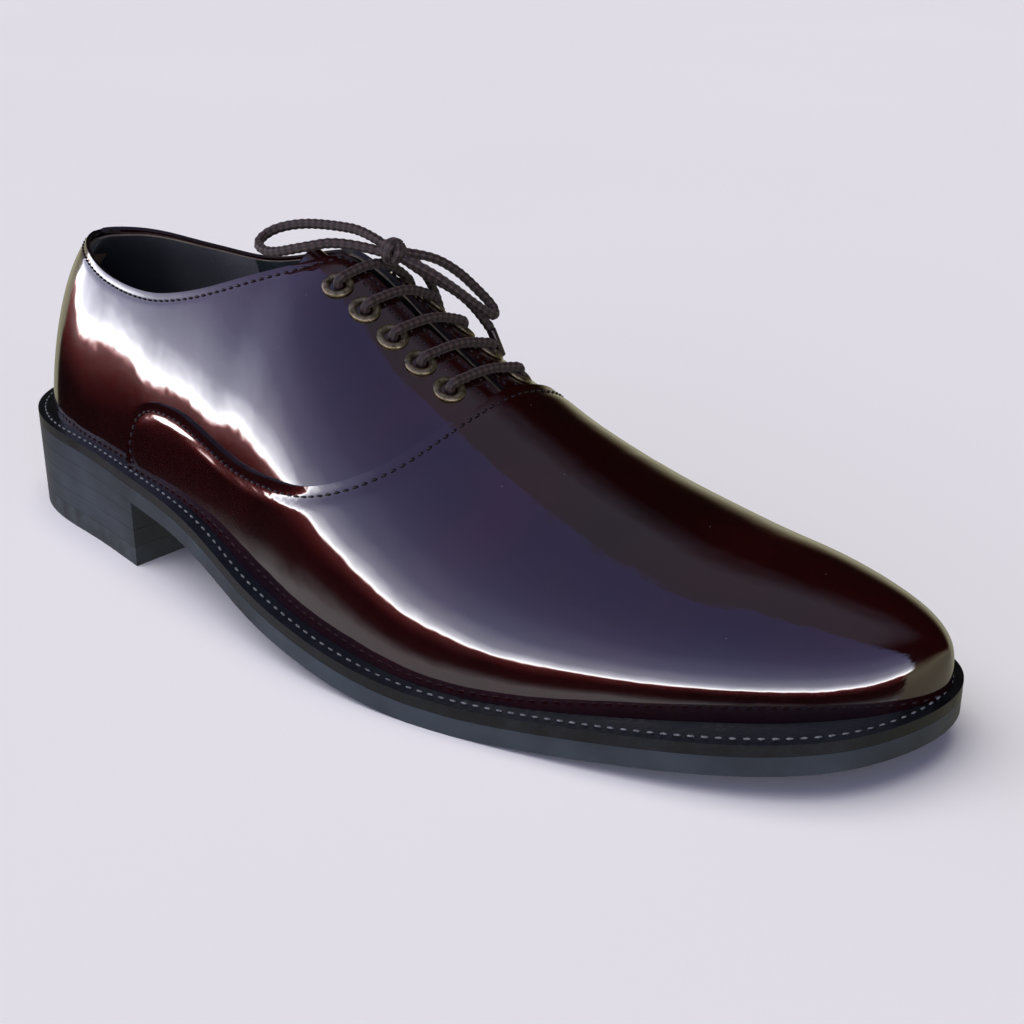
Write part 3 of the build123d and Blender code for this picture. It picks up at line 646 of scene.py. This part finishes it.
def tongue_point(x, share):
    """A point on the tongue's face: share is -1 to 1 across it."""
    half = 11.0 + 4.0 * (throat_x - x) / (throat_x - tongue_top_x)
    into_corner = max(0.0, (tongue_top_x + tongue_corner - x) / tongue_corner)
    half -= tongue_corner * 0.6 * (1 - math.sqrt(max(0.0, 1 - into_corner ** 2)))
    lift = 0.0
    if x < tongue_lift_from:
        run = (tongue_lift_from - x) / (tongue_lift_from - tongue_top_x)
        lift = tongue_lift_by * run ** 1.5
    middle = place_y(smooth(LAST, x, 4))
    side = -1 if share < 0 else 1
    y = middle + share * half
    v = v_at_y(x, y, side, tongue_drop) if abs(share) > 0.01 else 0.0
    spot = last_point(x, v, tongue_drop)
    return spot + Vector((0, 0, lift * (1 - share * share) * MM))


bm = bmesh.new()
bmesh.ops.create_grid(bm, x_segments=60, y_segments=24, size=1)
for vert in bm.verts:
    x = tongue_top_x + (throat_x - 3.0 - tongue_top_x) * ((vert.co.x + 1) / 2) ** 1.3
    vert.co = tongue_point(x, vert.co.y)
face_out(bm)
tongue = finish_mesh(bm, "tongue_patent", patent)
thicken(tongue, tongue_t, 0.3, edge_ink_and_shade)
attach(tongue, "tongue")
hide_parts("tongue")

# --- stitching -----------------------------------------------------------------------------
# Bonded nylon thread, one lock-stitch row along each edge: each stitch is a short bead that
# sinks at both ends into its needle holes.
thread_d = 0.7

# Bonded nylon, dyed near-black: a faint twist, a waxy low shine.
thread_dark, tree, shader = new_material("bonded_nylon_thread")
coords = add_node(tree, "ShaderNodeTexCoord").outputs["Object"]
twist = add_node(tree, "ShaderNodeTexNoise",
                 {"Vector": coords, "Scale": 1 / (0.4 * MM), "Detail": 2.0})
tree.links.new(ramp(tree, twist.outputs["Fac"], [(0.3, "#080405"), (0.7, "#1d1012")]),
               shader.inputs["Base Color"])
tree.links.new(ramp(tree, twist.outputs["Fac"], [(0.3, 0.35), (0.7, 0.5)]),
               shader.inputs["Roughness"])


def stitch_row(bm, spots, length, pitch, width=thread_d):
    """Beads of thread, one each pitch along (point, normal) spots."""
    pitch *= MM
    left = pitch / 2
    for (a, out), (b, _) in zip(spots, spots[1:]):
        run = b - a
        while run.length > left:
            a = a + run.normalized() * left
            run = b - a
            along = run.normalized() if run.length > 1e-9 else Vector((1, 0, 0))
            across = out.cross(along).normalized()
            up = along.cross(across)
            turn = Matrix((along, across, up)).transposed().to_4x4()
            size = Matrix.Diagonal((length / 2 * MM, width / 2 * MM, width / 2.2 * MM, 1))
            bmesh.ops.create_icosphere(bm, subdivisions=1, radius=1,
                                       matrix=Matrix.Translation(a) @ turn @ size)
            left = pitch
        left -= run.length


def on_skin(line, inset, lift):
    """Points of a flat line on the leather, each with its outward direction."""
    spots = []
    for x, v in line:
        out = last_normal(x, v, inset)
        spots.append((last_point(x, v, inset) + out * lift * MM, out))
    return spots


bm = bmesh.new()
stitch_row(bm, on_skin(vamp_stitch_line, 0.0, -0.12), 1.9, 2.6)
vamp_stitches = finish_mesh(bm, "vamp_stitches", thread_dark)
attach(vamp_stitches, "shoe")

topline_in = 2.1
facing_in = 1.5
for side in (-1, 1):
    bm = bmesh.new()
    top = [(x, side * upper_edge(x, side)) for x in range(15, 132, 1)]
    front = [(x, side * upper_edge(x, side)) for x in range(134, int(throat_x) - 1, 1)]
    stitch_row(bm, on_skin(shifted(top, side * topline_in, quarter_in), quarter_in, 0.0),
               1.9, 2.6)
    stitch_row(bm, on_skin(shifted(front, side * facing_in, quarter_in), quarter_in, 0.05),
               2.0, 2.6)
    outer = [(x, v_at_y(x, place_y(smooth(LAST, x, 4)) + side * 6.4, side, quarter_in))
             for x in range(135, int(throat_x), 1)]
    stitch_row(bm, on_skin(outer, quarter_in, 0.05), 2.0, 2.6)
    rows = finish_mesh(bm, f"quarter_stitches_{side_name[side]}", thread_dark)
    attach(rows, "shoe")

# --- lace ----------------------------------------------------------------------------------
# One round braided cotton lace, waxed: five bars over the facings, then the bow.  The braid
# stands up in small diamonds, which catch the light on their crowns.
lace_d = 2.8
braid_around = 6
braid_pitch = 2.0         # along the lace, diamond to diamond
braid_relief = 0.11      # of the radius
ring_corners = 32
bar_lift = 2.2
bar_crown = 1.6
bar_ends = 3.2

# Waxed cotton braid in dark brown, its colour set by the braid's relief: painted shade darkens the
# valleys of the braid and a painted highlight makes the crowns paler; short fibres break up the
# shine.
lace_cotton, tree, shader = new_material("waxed_cotton_braid")
coords = add_node(tree, "ShaderNodeTexCoord").outputs["Object"]
relief = add_node(tree, "ShaderNodeAttribute", attribute_name="braid").outputs["Fac"]
# Painted shade and highlight: near-black in the valleys of the braid, paler on its crowns.
strand_shade_and_highlight = ramp(tree, relief, [(0.1, "#0c0706"), (0.5, "#2b1f1c"), (0.95, "#4e3f3a")])
fibre = add_node(tree, "ShaderNodeTexNoise",
                 {"Vector": coords, "Scale": 1 / (0.35 * MM), "Detail": 3.0})
braid_shade_and_fibre = add_node(tree, "ShaderNodeMix", {"Factor": 0.35, 6: strand_shade_and_highlight,
                                        7: ramp(tree, fibre.outputs["Fac"],
                                                [(0.3, "#150e0c"), (0.75, "#43352f")])},
                data_type="RGBA")
fuzz = add_node(tree, "ShaderNodeBump", {"Height": fibre.outputs["Fac"], "Strength": 0.5,
                                         "Distance": 0.08 * MM})
tree.links.new(braid_shade_and_fibre.outputs[2], shader.inputs["Base Color"])
tree.links.new(fuzz.outputs["Normal"], shader.inputs["Normal"])
shader.inputs["Roughness"].default_value = 0.62
shader.inputs["Sheen Weight"].default_value = 0.1
shader.inputs["Sheen Roughness"].default_value = 0.4


def lace_path(route, name):
    """The smooth line of a lace, read from an open NURBS spline through its route."""
    curve = bpy.data.curves.new(name, "CURVE")
    curve.dimensions = "3D"
    curve.resolution_u = 14
    spline = curve.splines.new("NURBS")
    spline.points.add(len(route) - 1)
    for point, place in zip(spline.points, route):
        point.co = (*place, 1)
    spline.order_u = 3
    spline.use_endpoint_u = True
    holder = bpy.data.objects.new(name, curve)
    bpy.context.scene.collection.objects.link(holder)
    line = bpy.data.meshes.new_from_object(holder)
    path = [v.co.copy() for v in line.vertices]
    bpy.data.objects.remove(holder)
    bpy.data.meshes.remove(line)
    return path


def braid_tube(bm, path, diameter=lace_d, pitch=braid_pitch):
    """A braided tube along a path, its open ends capped."""
    store = bm.verts.layers.float.get("braid") or bm.verts.layers.float.new("braid")
    lengths = [0.0]
    for a, b in zip(path, path[1:]):
        lengths.append(lengths[-1] + (b - a).length)
    step = pitch * MM / 7
    count = max(8, int(lengths[-1] / step))
    spots, i = [], 0
    for k in range(count + 1):
        at = lengths[-1] * k / count
        while i < len(lengths) - 2 and lengths[i + 1] < at:
            i += 1
        share = (at - lengths[i]) / max(lengths[i + 1] - lengths[i], 1e-9)
        spots.append(path[i].lerp(path[i + 1], min(max(share, 0), 1)))
    side_way, rim = None, None
    for k, spot in enumerate(spots):
        along = (spots[min(k + 1, count)] - spots[max(k - 1, 0)]).normalized()
        if side_way is None:
            side_way = along.orthogonal().normalized()
        side_way = (side_way - along * side_way.dot(along)).normalized()
        frame_here = Matrix((side_way, along.cross(side_way), along)).transposed()
        if rim is None:
            made = bmesh.ops.create_circle(bm, segments=ring_corners, radius=1, cap_ends=True)
            rim = made["verts"]
            edges = list({e for v in rim for e in v.link_edges})
            turns = [2 * math.pi * n / ring_corners for n in range(ring_corners)]
        else:
            grown = bmesh.ops.extrude_edge_only(bm, edges=edges)["geom"]
            fresh = {e.other_vert(v): None for v in rim for e in v.link_edges}
            new_verts = {g for g in grown if isinstance(g, bmesh.types.BMVert)}
            edges = [g for g in grown if isinstance(g, bmesh.types.BMEdge)
                     and all(v in new_verts for v in g.verts)]
            rim = [next(e.other_vert(v) for e in v.link_edges if e.other_vert(v) in new_verts)
                   for v in rim]
        swing = math.pi * k * lengths[-1] / count / (pitch * MM)
        for vert, turn in zip(rim, turns):
            bump = 0.5 + 0.5 * math.sin(braid_around / 2 * turn + swing) * math.sin(
                braid_around / 2 * turn - swing)
            radius = diameter / 2 * MM * (1 - braid_relief + 2 * braid_relief * (bump - 0.5))
            vert.co = spot + frame_here @ Vector((math.cos(turn), math.sin(turn), 0)) * radius
            vert[store] = bump
    bmesh.ops.contextual_create(bm, geom=edges)
    return lengths[-1]


bm = bmesh.new()
for (low, low_out), (high, high_out) in zip(eyelet_places(-1), eyelet_places(1)):
    middle_x = ((low.x + high.x) / 2 / MM + shoe_length / 2) / grade_x
    crown = []
    for offset in (-7.5, -2.5, 2.5, 7.5):
        y = place_y(smooth(LAST, middle_x, 4)) + offset
        x = middle_x + offset * 0.06
        v = v_at_y(x, y, -1 if offset < 0 else 1, quarter_in)
        crown.append(last_point(x, v, quarter_in)
                     + last_normal(x, v, quarter_in) * (lace_d / 2 + 0.25) * MM)
    route = [low - low_out * bar_ends * MM, low + low_out * 0.4 * MM,
             low + low_out * bar_lift * MM + (crown[0] - low) * 0.08,
             *crown, high + high_out * bar_lift * MM + (crown[-1] - high) * 0.08,
             high + high_out * 0.4 * MM, high - high_out * bar_ends * MM]
    braid_tube(bm, lace_path(route, "bar_line"))
bmesh.ops.recalc_face_normals(bm, faces=bm.faces)
bars = finish_mesh(bm, "lace_bars_braid", lace_cotton)
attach(bars, "shoe")
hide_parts("lace_bars")

# --- bow -----------------------------------------------------------------------------------
# The lace's free half: two loops and two ends out of one knot.  The knot is the lace itself,
# pulled round the loops in tight turns.
knot_at = (-8.0, 4.4, 95.2)
knot_turn_r = 2.5
BOW_BACK = [knot_at, (-18.5, 5.4, 98.6), (-29.5, 3.9, 98.8), (-39.5, 0.9, 98.4),
            (-46.5, -3.6, 96.4), (-46.5, -9.6, 93.6), (-38.5, -12.1, 92.6),
            (-28.5, -9.6, 95.4), (-20.5, -1.6, 97.2), (-9.0, 3.4, 94.6)]
BOW_FRONT = [knot_at, (-3.5, 12.0, 93.8), (0.0, 19.4, 89.0), (3.0, 26.0, 81.6),
             (5.5, 28.9, 77.0), (8.5, 25.5, 75.8), (7.0, 20.4, 79.8), (4.0, 14.4, 85.5),
             (-1.5, 8.9, 91.1), (-7.6, 5.2, 94.0)]
LACE_END_FRONT = [knot_at, (-3.5, 11.0, 88.6), (0.5, 17.9, 84.0), (4.0, 22.9, 78.4),
                  (6.6, 25.9, 72.2)]
LACE_END_SIDE = [knot_at, (-13.5, 9.5, 95.0), (-15.5, 16.0, 91.5), (-16.5, 22.0, 87.0),
                 (-17.0, 27.0, 81.0), (-17.0, 30.5, 74.5), (-16.8, 31.6, 69.0)]
AGLETS = {"aglet_front": ((6.6, 25.9, 72.2), (8.8, 28.0, 64.5)),
          "aglet_side": ((-16.8, 31.6, 69.0), (-16.5, 31.9, 58.0))}
aglet_d = 2.6

# Clear-brown acetate film, rolled hot round the lace's end: a hard even gloss with the film's
# lap showing as a faint ridge.
aglet_film, tree, shader = new_material("acetate_aglet_film")
coords = add_node(tree, "ShaderNodeTexCoord").outputs["Object"]
film = add_node(tree, "ShaderNodeTexNoise", {"Vector": coords, "Scale": 1 / (1.2 * MM)})
tree.links.new(ramp(tree, film.outputs["Fac"], [(0.35, "#1c1211"), (0.7, "#33231f")]),
               shader.inputs["Base Color"])
tree.links.new(ramp(tree, film.outputs["Fac"], [(0.3, 0.18), (0.7, 0.32)]),
               shader.inputs["Roughness"])


def lace_piece(name, path):
    bm = bmesh.new()
    length = braid_tube(bm, path)
    bmesh.ops.recalc_face_normals(bm, faces=bm.faces)
    piece = finish_mesh(bm, f"{name}_braid", lace_cotton)
    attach(piece, "shoe")
    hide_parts(name)
    return piece, length


aglets = {}
for name, (top, tip) in AGLETS.items():
    top, tip = Vector(top) * MM, Vector(tip) * MM
    run = tip - top
    bm = bmesh.new()
    bmesh.ops.create_cone(bm, cap_ends=True, segments=24, radius1=aglet_d / 2 * MM,
                          radius2=aglet_d / 2 * 0.9 * MM, depth=run.length)
    ends = [e for e in bm.edges if abs(e.verts[0].co.z - e.verts[1].co.z) < 1e-7]
    bmesh.ops.bevel(bm, geom=ends, offset=0.35 * MM, segments=3, profile=0.5, material=-1,
                    affect="EDGES")
    turn = run.to_track_quat("Z", "Y").to_matrix().to_4x4()
    bmesh.ops.transform(bm, matrix=Matrix.Translation((top + tip) / 2) @ turn, verts=bm.verts)
    piece = finish_mesh(bm, f"{name}_film", aglet_film)
    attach(piece, "shoe")
    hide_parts(name)
    aglets[name] = piece

for name, route, far_end, tips in (
        ("bow_loop_back", BOW_BACK, "object", []),
        ("bow_loop_front", BOW_FRONT, "object", []),
        ("lace_end_front", LACE_END_FRONT, "fitting", [aglets["aglet_front"]]),
        ("lace_end_side", LACE_END_SIDE, "fitting", [aglets["aglet_side"]])):
    path = lace_path([Vector(p) * MM for p in route], name)
    piece, length = lace_piece(name, path)

bm = bmesh.new()
knot_middle = Vector(knot_at) * MM
wrap_ways = [((0.95, 0.1, -0.25), 0.0), ((0.2, 0.95, -0.3), 0.0), ((0.75, -0.65, 0.1), 0.0)]
for way, _ in wrap_ways:
    axis = Vector(way).normalized()
    first = axis.orthogonal().normalized()
    second = axis.cross(first)
    turns = [2 * math.pi * n / 16 for n in range(17)]
    ring = [knot_middle + (first * math.cos(a) + second * math.sin(a)) * knot_turn_r * MM
            for a in turns]
    braid_tube(bm, lace_path(ring, "knot_line"), lace_d * 0.92)
bmesh.ops.recalc_face_normals(bm, faces=bm.faces)
knot = finish_mesh(bm, "lace_knot_braid", lace_cotton)
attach(knot, "shoe")
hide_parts("lace_knot")

# Flat runs of the same lace behind the facings, pressed between tongue and lining.
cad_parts["lace_inner_runs"].data.materials.clear()
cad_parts["lace_inner_runs"].data.materials.append(lace_cotton)

# --- linings and stiffeners ----------------------------------------------------------------
# Thin pigskin-type lining, dyed black-green, skived and cemented inside the quarters, vamp and
# tongue; a napped grip piece at the heel; and the boards and tapes that stay hidden.


def dress(node, material):
    """Gives a carried-over frame part its finish."""
    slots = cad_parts[node].data.materials
    slots.clear()
    slots.append(material)


def grained(name, low, high, grain_size, relief, rough_from, rough_to, detail=4.0):
    """A mottled, grained surface: two colours, pores of a real size and an uneven shine."""
    material, tree, shader = new_material(name)
    coords = add_node(tree, "ShaderNodeTexCoord").outputs["Object"]
    patch = add_node(tree, "ShaderNodeTexNoise",
                     {"Vector": coords, "Scale": 1 / (grain_size * 9 * MM), "Detail": detail})
    pores = add_node(tree, "ShaderNodeTexVoronoi",
                     {"Vector": coords, "Scale": 1 / (grain_size * MM)})
    mottle = add_node(tree, "ShaderNodeMath", {0: patch.outputs["Fac"], 1: pores.outputs["Distance"],
                                               2: -0.1}, operation="MULTIPLY_ADD")
    tint = add_node(tree, "ShaderNodeMath", {0: patch.outputs["Fac"], 1: mottle.outputs[0]},
                    operation="ADD")
    half = add_node(tree, "ShaderNodeMath", {0: tint.outputs[0], 1: 0.7}, operation="MULTIPLY")
    bump = add_node(tree, "ShaderNodeBump", {"Height": pores.outputs["Distance"],
                                             "Strength": 0.7, "Distance": relief * MM})
    tree.links.new(ramp(tree, half.outputs[0], [(0.25, low), (0.75, high)]),
                   shader.inputs["Base Color"])
    tree.links.new(ramp(tree, patch.outputs["Fac"], [(0.3, rough_from), (0.7, rough_to)]),
                   shader.inputs["Roughness"])
    tree.links.new(bump.outputs["Normal"], shader.inputs["Normal"])
    return material, tree, shader


# Aniline-dyed lining leather: black-green, fine pores, a soft satin.
lining_leather, tree, shader = grained("dyed_lining_leather", "#0e1719", "#1f2e30", 0.7, 0.05,
                                       0.4, 0.6)
for node in ("vamp_lining", "tongue_lining", "sock_liner"):
    dress(node, lining_leather)
# Suede grip, flesh side out: darker, dull and napped.
grip_suede, tree, shader = grained("heel_grip_suede", "#07090a", "#14191a", 0.4, 0.12, 0.85, 0.98)
shader.inputs["Sheen Weight"].default_value = 0.3

# Their raw edge shows as a thin buff line along the topline.
# The linings meet the folded topline edge to edge, then ease inwards over the counter.
raw_edge, tree, shader = grained("raw_lining_edge", "#574c3f", "#7d7263", 0.5, 0.05, 0.6, 0.8)
lining_t = 0.8
lining_seam_x = 76.0
lining_face = quarter_in + upper_t + 0.06
heel_lining_in = 4.35
side_lining_in = 3.4
ease_rows = 0.3           # share of the height over which the lining eases inwards


def lining(name, sides, x_from, x_to, settled_in, material, node):
    bm = bmesh.new()
    for side in sides:
        side_panel(bm, side, x_from, x_to, 90, 34)
    for vert in bm.verts:
        x, v = vert.co.x, vert.co.y
        top = upper_edge(x, 1 if v > 0 else -1)
        down = (abs(v) - top) / max(1 - top, 1e-6)
        ease = min(down / ease_rows, 1.0)
        inset = lining_face + (settled_in - lining_face) * ease * ease * (3 - 2 * ease)
        vert.co = last_point(x, v, inset)
    bmesh.ops.remove_doubles(bm, verts=bm.verts, dist=0.02 * MM)
    face_out(bm)
    piece = finish_mesh(bm, name, material)
    thicken(piece, lining_t, 0.25, raw_edge)
    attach(piece, "shoe")
    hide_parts(node)


heel_back_x = last_back_x + heel_lining_in
lining("heel_grip_lining", (-1, 1), heel_back_x, lining_seam_x, heel_lining_in, grip_suede,
       "heel_lining")
for side in (-1, 1):
    lining(f"quarter_lining_{side_name[side]}_sheet", (side,), lining_seam_x - 4, throat_x - 3,
           side_lining_in, lining_leather, f"quarter_lining_{side_name[side]}")
# Pressed fibre board and thermoplastic stiffener: flecked buff-grey.
fibre_board, tree, shader = grained("pressed_fibre_board", "#6d5a40", "#94805f", 0.9, 0.06,
                                    0.75, 0.9)
for node in ("heel_counter", "toe_puff", "insole_board"):
    dress(node, fibre_board)
# Woven nylon stay tape: off-white, a fine crossing weave.
stay_tape, tree, shader = grained("woven_stay_tape", "#a9a294", "#cfc9bb", 0.5, 0.08, 0.7, 0.85)
for node in ("facing_stay_lateral", "facing_stay_medial"):
    dress(node, stay_tape)

# --- bottom --------------------------------------------------------------------------------
# A narrow welt stitched to a thin sole, both edges trimmed together, waxed black and burnished
# with a hot iron.  Inside lie the cork filling and a spring-steel shank.

# Ground cork in latex: warm brown crumbs with dark gaps.
cork, tree, shader = grained("ground_cork", "#5f4125", "#a87b4c", 1.6, 0.2, 0.8, 0.95)
dress("cork_filler", cork)
# Blued spring steel: dark, oiled.
spring_steel, tree, shader = grained("blued_spring_steel", "#2b2f36", "#4b525c", 0.8, 0.01,
                                     0.3, 0.45)
shader.inputs["Metallic"].default_value = 1.0
dress("shank", spring_steel)
# Welt leather, stained black and waxed: a tight grain with a low waxy shine.
welt_leather, tree, shader = grained("waxed_welt_leather", "#040608", "#12171b", 0.8, 0.06,
                                     0.28, 0.45)
dress("welt", welt_leather)
# Sole edge, inked slate-black and ironed: fine lines run along it from the trimming cutter.
sole_leather, tree, shader = new_material("ironed_sole_edge")
coords = add_node(tree, "ShaderNodeTexCoord").outputs["Object"]
layers = add_node(tree, "ShaderNodeMapping", {"Vector": coords, "Scale": (0.05, 0.05, 1.0)})
lines = add_node(tree, "ShaderNodeTexNoise",
                 {"Vector": layers.outputs["Vector"], "Scale": 1 / (0.5 * MM), "Detail": 3.0})
patch = add_node(tree, "ShaderNodeTexNoise", {"Vector": coords, "Scale": 1 / (22 * MM),
                                              "Detail": 4.0})
ink = ramp(tree, patch.outputs["Fac"], [(0.3, "#1b2228"), (0.7, "#333d45")])
edge_bump = add_node(tree, "ShaderNodeBump", {"Height": lines.outputs["Fac"], "Strength": 0.45,
                                              "Distance": 0.06 * MM})
tree.links.new(ink, shader.inputs["Base Color"])
tree.links.new(ramp(tree, lines.outputs["Fac"], [(0.3, 0.34), (0.7, 0.5)]),
               shader.inputs["Roughness"])
tree.links.new(edge_bump.outputs["Normal"], shader.inputs["Normal"])
for node in ("outsole", "heel_seat_lift", "heel_lift_lower", "heel_lift_upper"):
    dress(node, sole_leather)
# Rubber top piece: matt black with a faint mould texture.
heel_rubber, tree, shader = grained("moulded_heel_rubber", "#20262a", "#353d42", 0.6, 0.05,
                                    0.5, 0.7)
dress("top_piece", heel_rubber)
# Brass nails in the heel.
nail_brass, tree, shader = grained("nail_brass", "#8d6d2e", "#c49a4c", 0.6, 0.02, 0.3, 0.45)
shader.inputs["Metallic"].default_value = 1.0
dress("heel_nails", nail_brass)

# --- welt stitching ------------------------------------------------------------------------
# A heavier waxed thread, its stitches lying in a shallow channel round the top of the welt.
welt_stitch_in = 2.6
welt_thread_d = 0.7
welt_pitch = 3.1

# Waxed linen thread, greyed by the edge ink.
welt_thread, tree, shader = new_material("waxed_linen_thread")
coords = add_node(tree, "ShaderNodeTexCoord").outputs["Object"]
twist = add_node(tree, "ShaderNodeTexNoise", {"Vector": coords, "Scale": 1 / (0.4 * MM)})
tree.links.new(ramp(tree, twist.outputs["Fac"], [(0.3, "#3c3f42"), (0.7, "#7b7d7d")]),
               shader.inputs["Base Color"])
shader.inputs["Roughness"].default_value = 0.6
round_the_welt = []
for side, turns in ((-1, range(0, 181, 1)), (1, range(179, -1, -1))):
    for degrees in turns:
        turn = math.radians(degrees)
        x = (1 - math.cos(turn)) / 2 * pattern_length
        half = max(smooth(SOLE, x, 1) * grade_y - welt_stitch_in * math.sin(turn), 0.0)
        along = place_x(x) + welt_stitch_in * math.cos(turn)
        y = place_y(smooth(SOLE, x, 2)) + side * half
        round_the_welt.append((Vector((along, y, feather(x) + 0.1)) * MM, Vector((0, 0, 1))))
bm = bmesh.new()
stitch_row(bm, round_the_welt, 2.0, welt_pitch, welt_thread_d)
welt_stitches = finish_mesh(bm, "welt_stitches", welt_thread)
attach(welt_stitches, "shoe")

# --- floor, light and camera ---------------------------------------------------------------
# A plain pale floor under an open soft sky.  The polished leather mirrors that sky: slate high
# up, a bright band low down, and a dark far edge under it.
bm = bmesh.new()
bmesh.ops.create_grid(bm, x_segments=1, y_segments=1, size=6)
floor_paint, tree, shader = new_material("pale_studio_floor")
coords = add_node(tree, "ShaderNodeTexCoord").outputs["Object"]
mottle = add_node(tree, "ShaderNodeTexNoise", {"Vector": coords, "Scale": 3.0})
tree.links.new(ramp(tree, mottle.outputs["Fac"], [(0.2, "#f6f4ef"), (0.8, "#f9f7f2")]),
               shader.inputs["Base Color"])
shader.inputs["Roughness"].default_value = 1.0
shader.inputs["Specular IOR Level"].default_value = 0.0
floor = finish_mesh(bm, "studio_floor", floor_paint, smooth=False)
floor.visible_glossy = False

world = bpy.data.worlds.new("open_sky")
bpy.context.scene.world = world
world.use_nodes = True
tree = world.node_tree
background = tree.nodes["Background"]
way = add_node(tree, "ShaderNodeTexCoord").outputs["Generated"]
rough_edge = add_node(tree, "ShaderNodeTexNoise", {"Vector": way, "Scale": 5.0, "Detail": 6.0,
                                                   "Roughness": 0.6})
parts = add_node(tree, "ShaderNodeSeparateXYZ", {"Vector": way})
wander = add_node(tree, "ShaderNodeMath", {0: rough_edge.outputs["Fac"], 1: 0.5},
                  operation="SUBTRACT")
height = add_node(tree, "ShaderNodeMath", {0: wander.outputs[0], 1: 0.10,
                                           2: parts.outputs["Z"]}, operation="MULTIPLY_ADD")
across = add_node(tree, "ShaderNodeMath", {0: wander.outputs[0], 1: 0.35,
                                           2: parts.outputs["Y"]}, operation="MULTIPLY_ADD")


def by_height(stops):
    """A ramp over the sine of the elevation, each stop a sine, a colour and its radiance."""
    share = add_node(tree, "ShaderNodeMapRange", {"Value": height.outputs[0],
                                                  "From Min": -1.0, "From Max": 1.0})
    tint = ramp(tree, share.outputs[0], [((z + 1) / 2, code) for z, code, _ in stops])
    glow = ramp(tree, share.outputs[0], [((z + 1) / 2, power / 10) for z, _, power in stops])
    return add_node(tree, "ShaderNodeVectorMath", {0: tint, 1: add_node(
        tree, "ShaderNodeVectorMath", {0: glow, 1: (10, 10, 10)},
        operation="MULTIPLY").outputs[0]}, operation="MULTIPLY").outputs[0]


open_sky = by_height([
    (-1.0, "#8b8788", 1.2), (-0.42, "#8f8b8e", 1.5), (-0.30, "#3b3032", 0.4),
    (-0.17, "#140808", 0.2), (-0.02, "#b81a0c", 0.7), (0.0, "#ffffff", 9.0),
    (0.05, "#e4e4f0", 5.0), (0.14, "#b4b5cc", 3.0), (0.36, "#8083a6", 2.4),
    (0.70, "#5d6188", 2.2), (1.0, "#50537a", 2.0)])
far_wall = by_height([
    (-1.0, "#77706a", 0.9), (-0.35, "#8d8a78", 1.1), (-0.1, "#a29e86", 1.2),
    (0.06, "#7c725c", 1.1), (0.20, "#3a2e24", 0.7), (0.26, "#1c1411", 0.5),
    (0.75, "#1f1613", 0.5), (0.9, "#5c5b68", 1.4)])
side_share = ramp(tree, across.outputs[0], [(0.02, 0.0), (0.06, 1.0)])
whole = add_node(tree, "ShaderNodeMix", {"Factor": side_share, 6: open_sky, 7: far_wall},
                 data_type="RGBA")
tree.links.new(whole.outputs[2], background.inputs["Color"])
background.inputs["Strength"].default_value = 1.0
bpy.context.scene.view_settings.view_transform = "Standard"

overhead = bpy.data.lights.new("overhead_soft_light", "SUN")
overhead.angle = math.radians(70)
overhead.energy = 1.9
overhead.color = (1.0, 0.965, 0.9)
overhead_holder = bpy.data.objects.new("overhead_soft_light", overhead)
overhead_holder.rotation_euler = (math.radians(12), math.radians(-14), 0)
overhead_holder.visible_glossy = False
bpy.context.scene.collection.objects.link(overhead_holder)

lens = bpy.data.cameras.new("camera")
lens.lens = 56.2
lens.sensor_width = 36.0
camera = bpy.data.objects.new("camera", lens)
camera.location = (0.2838, -0.2831, 0.1996)
camera.rotation_euler = (math.radians(66.4), 0, math.radians(41.1))
bpy.context.scene.collection.objects.link(camera)
bpy.context.scene.camera = camera
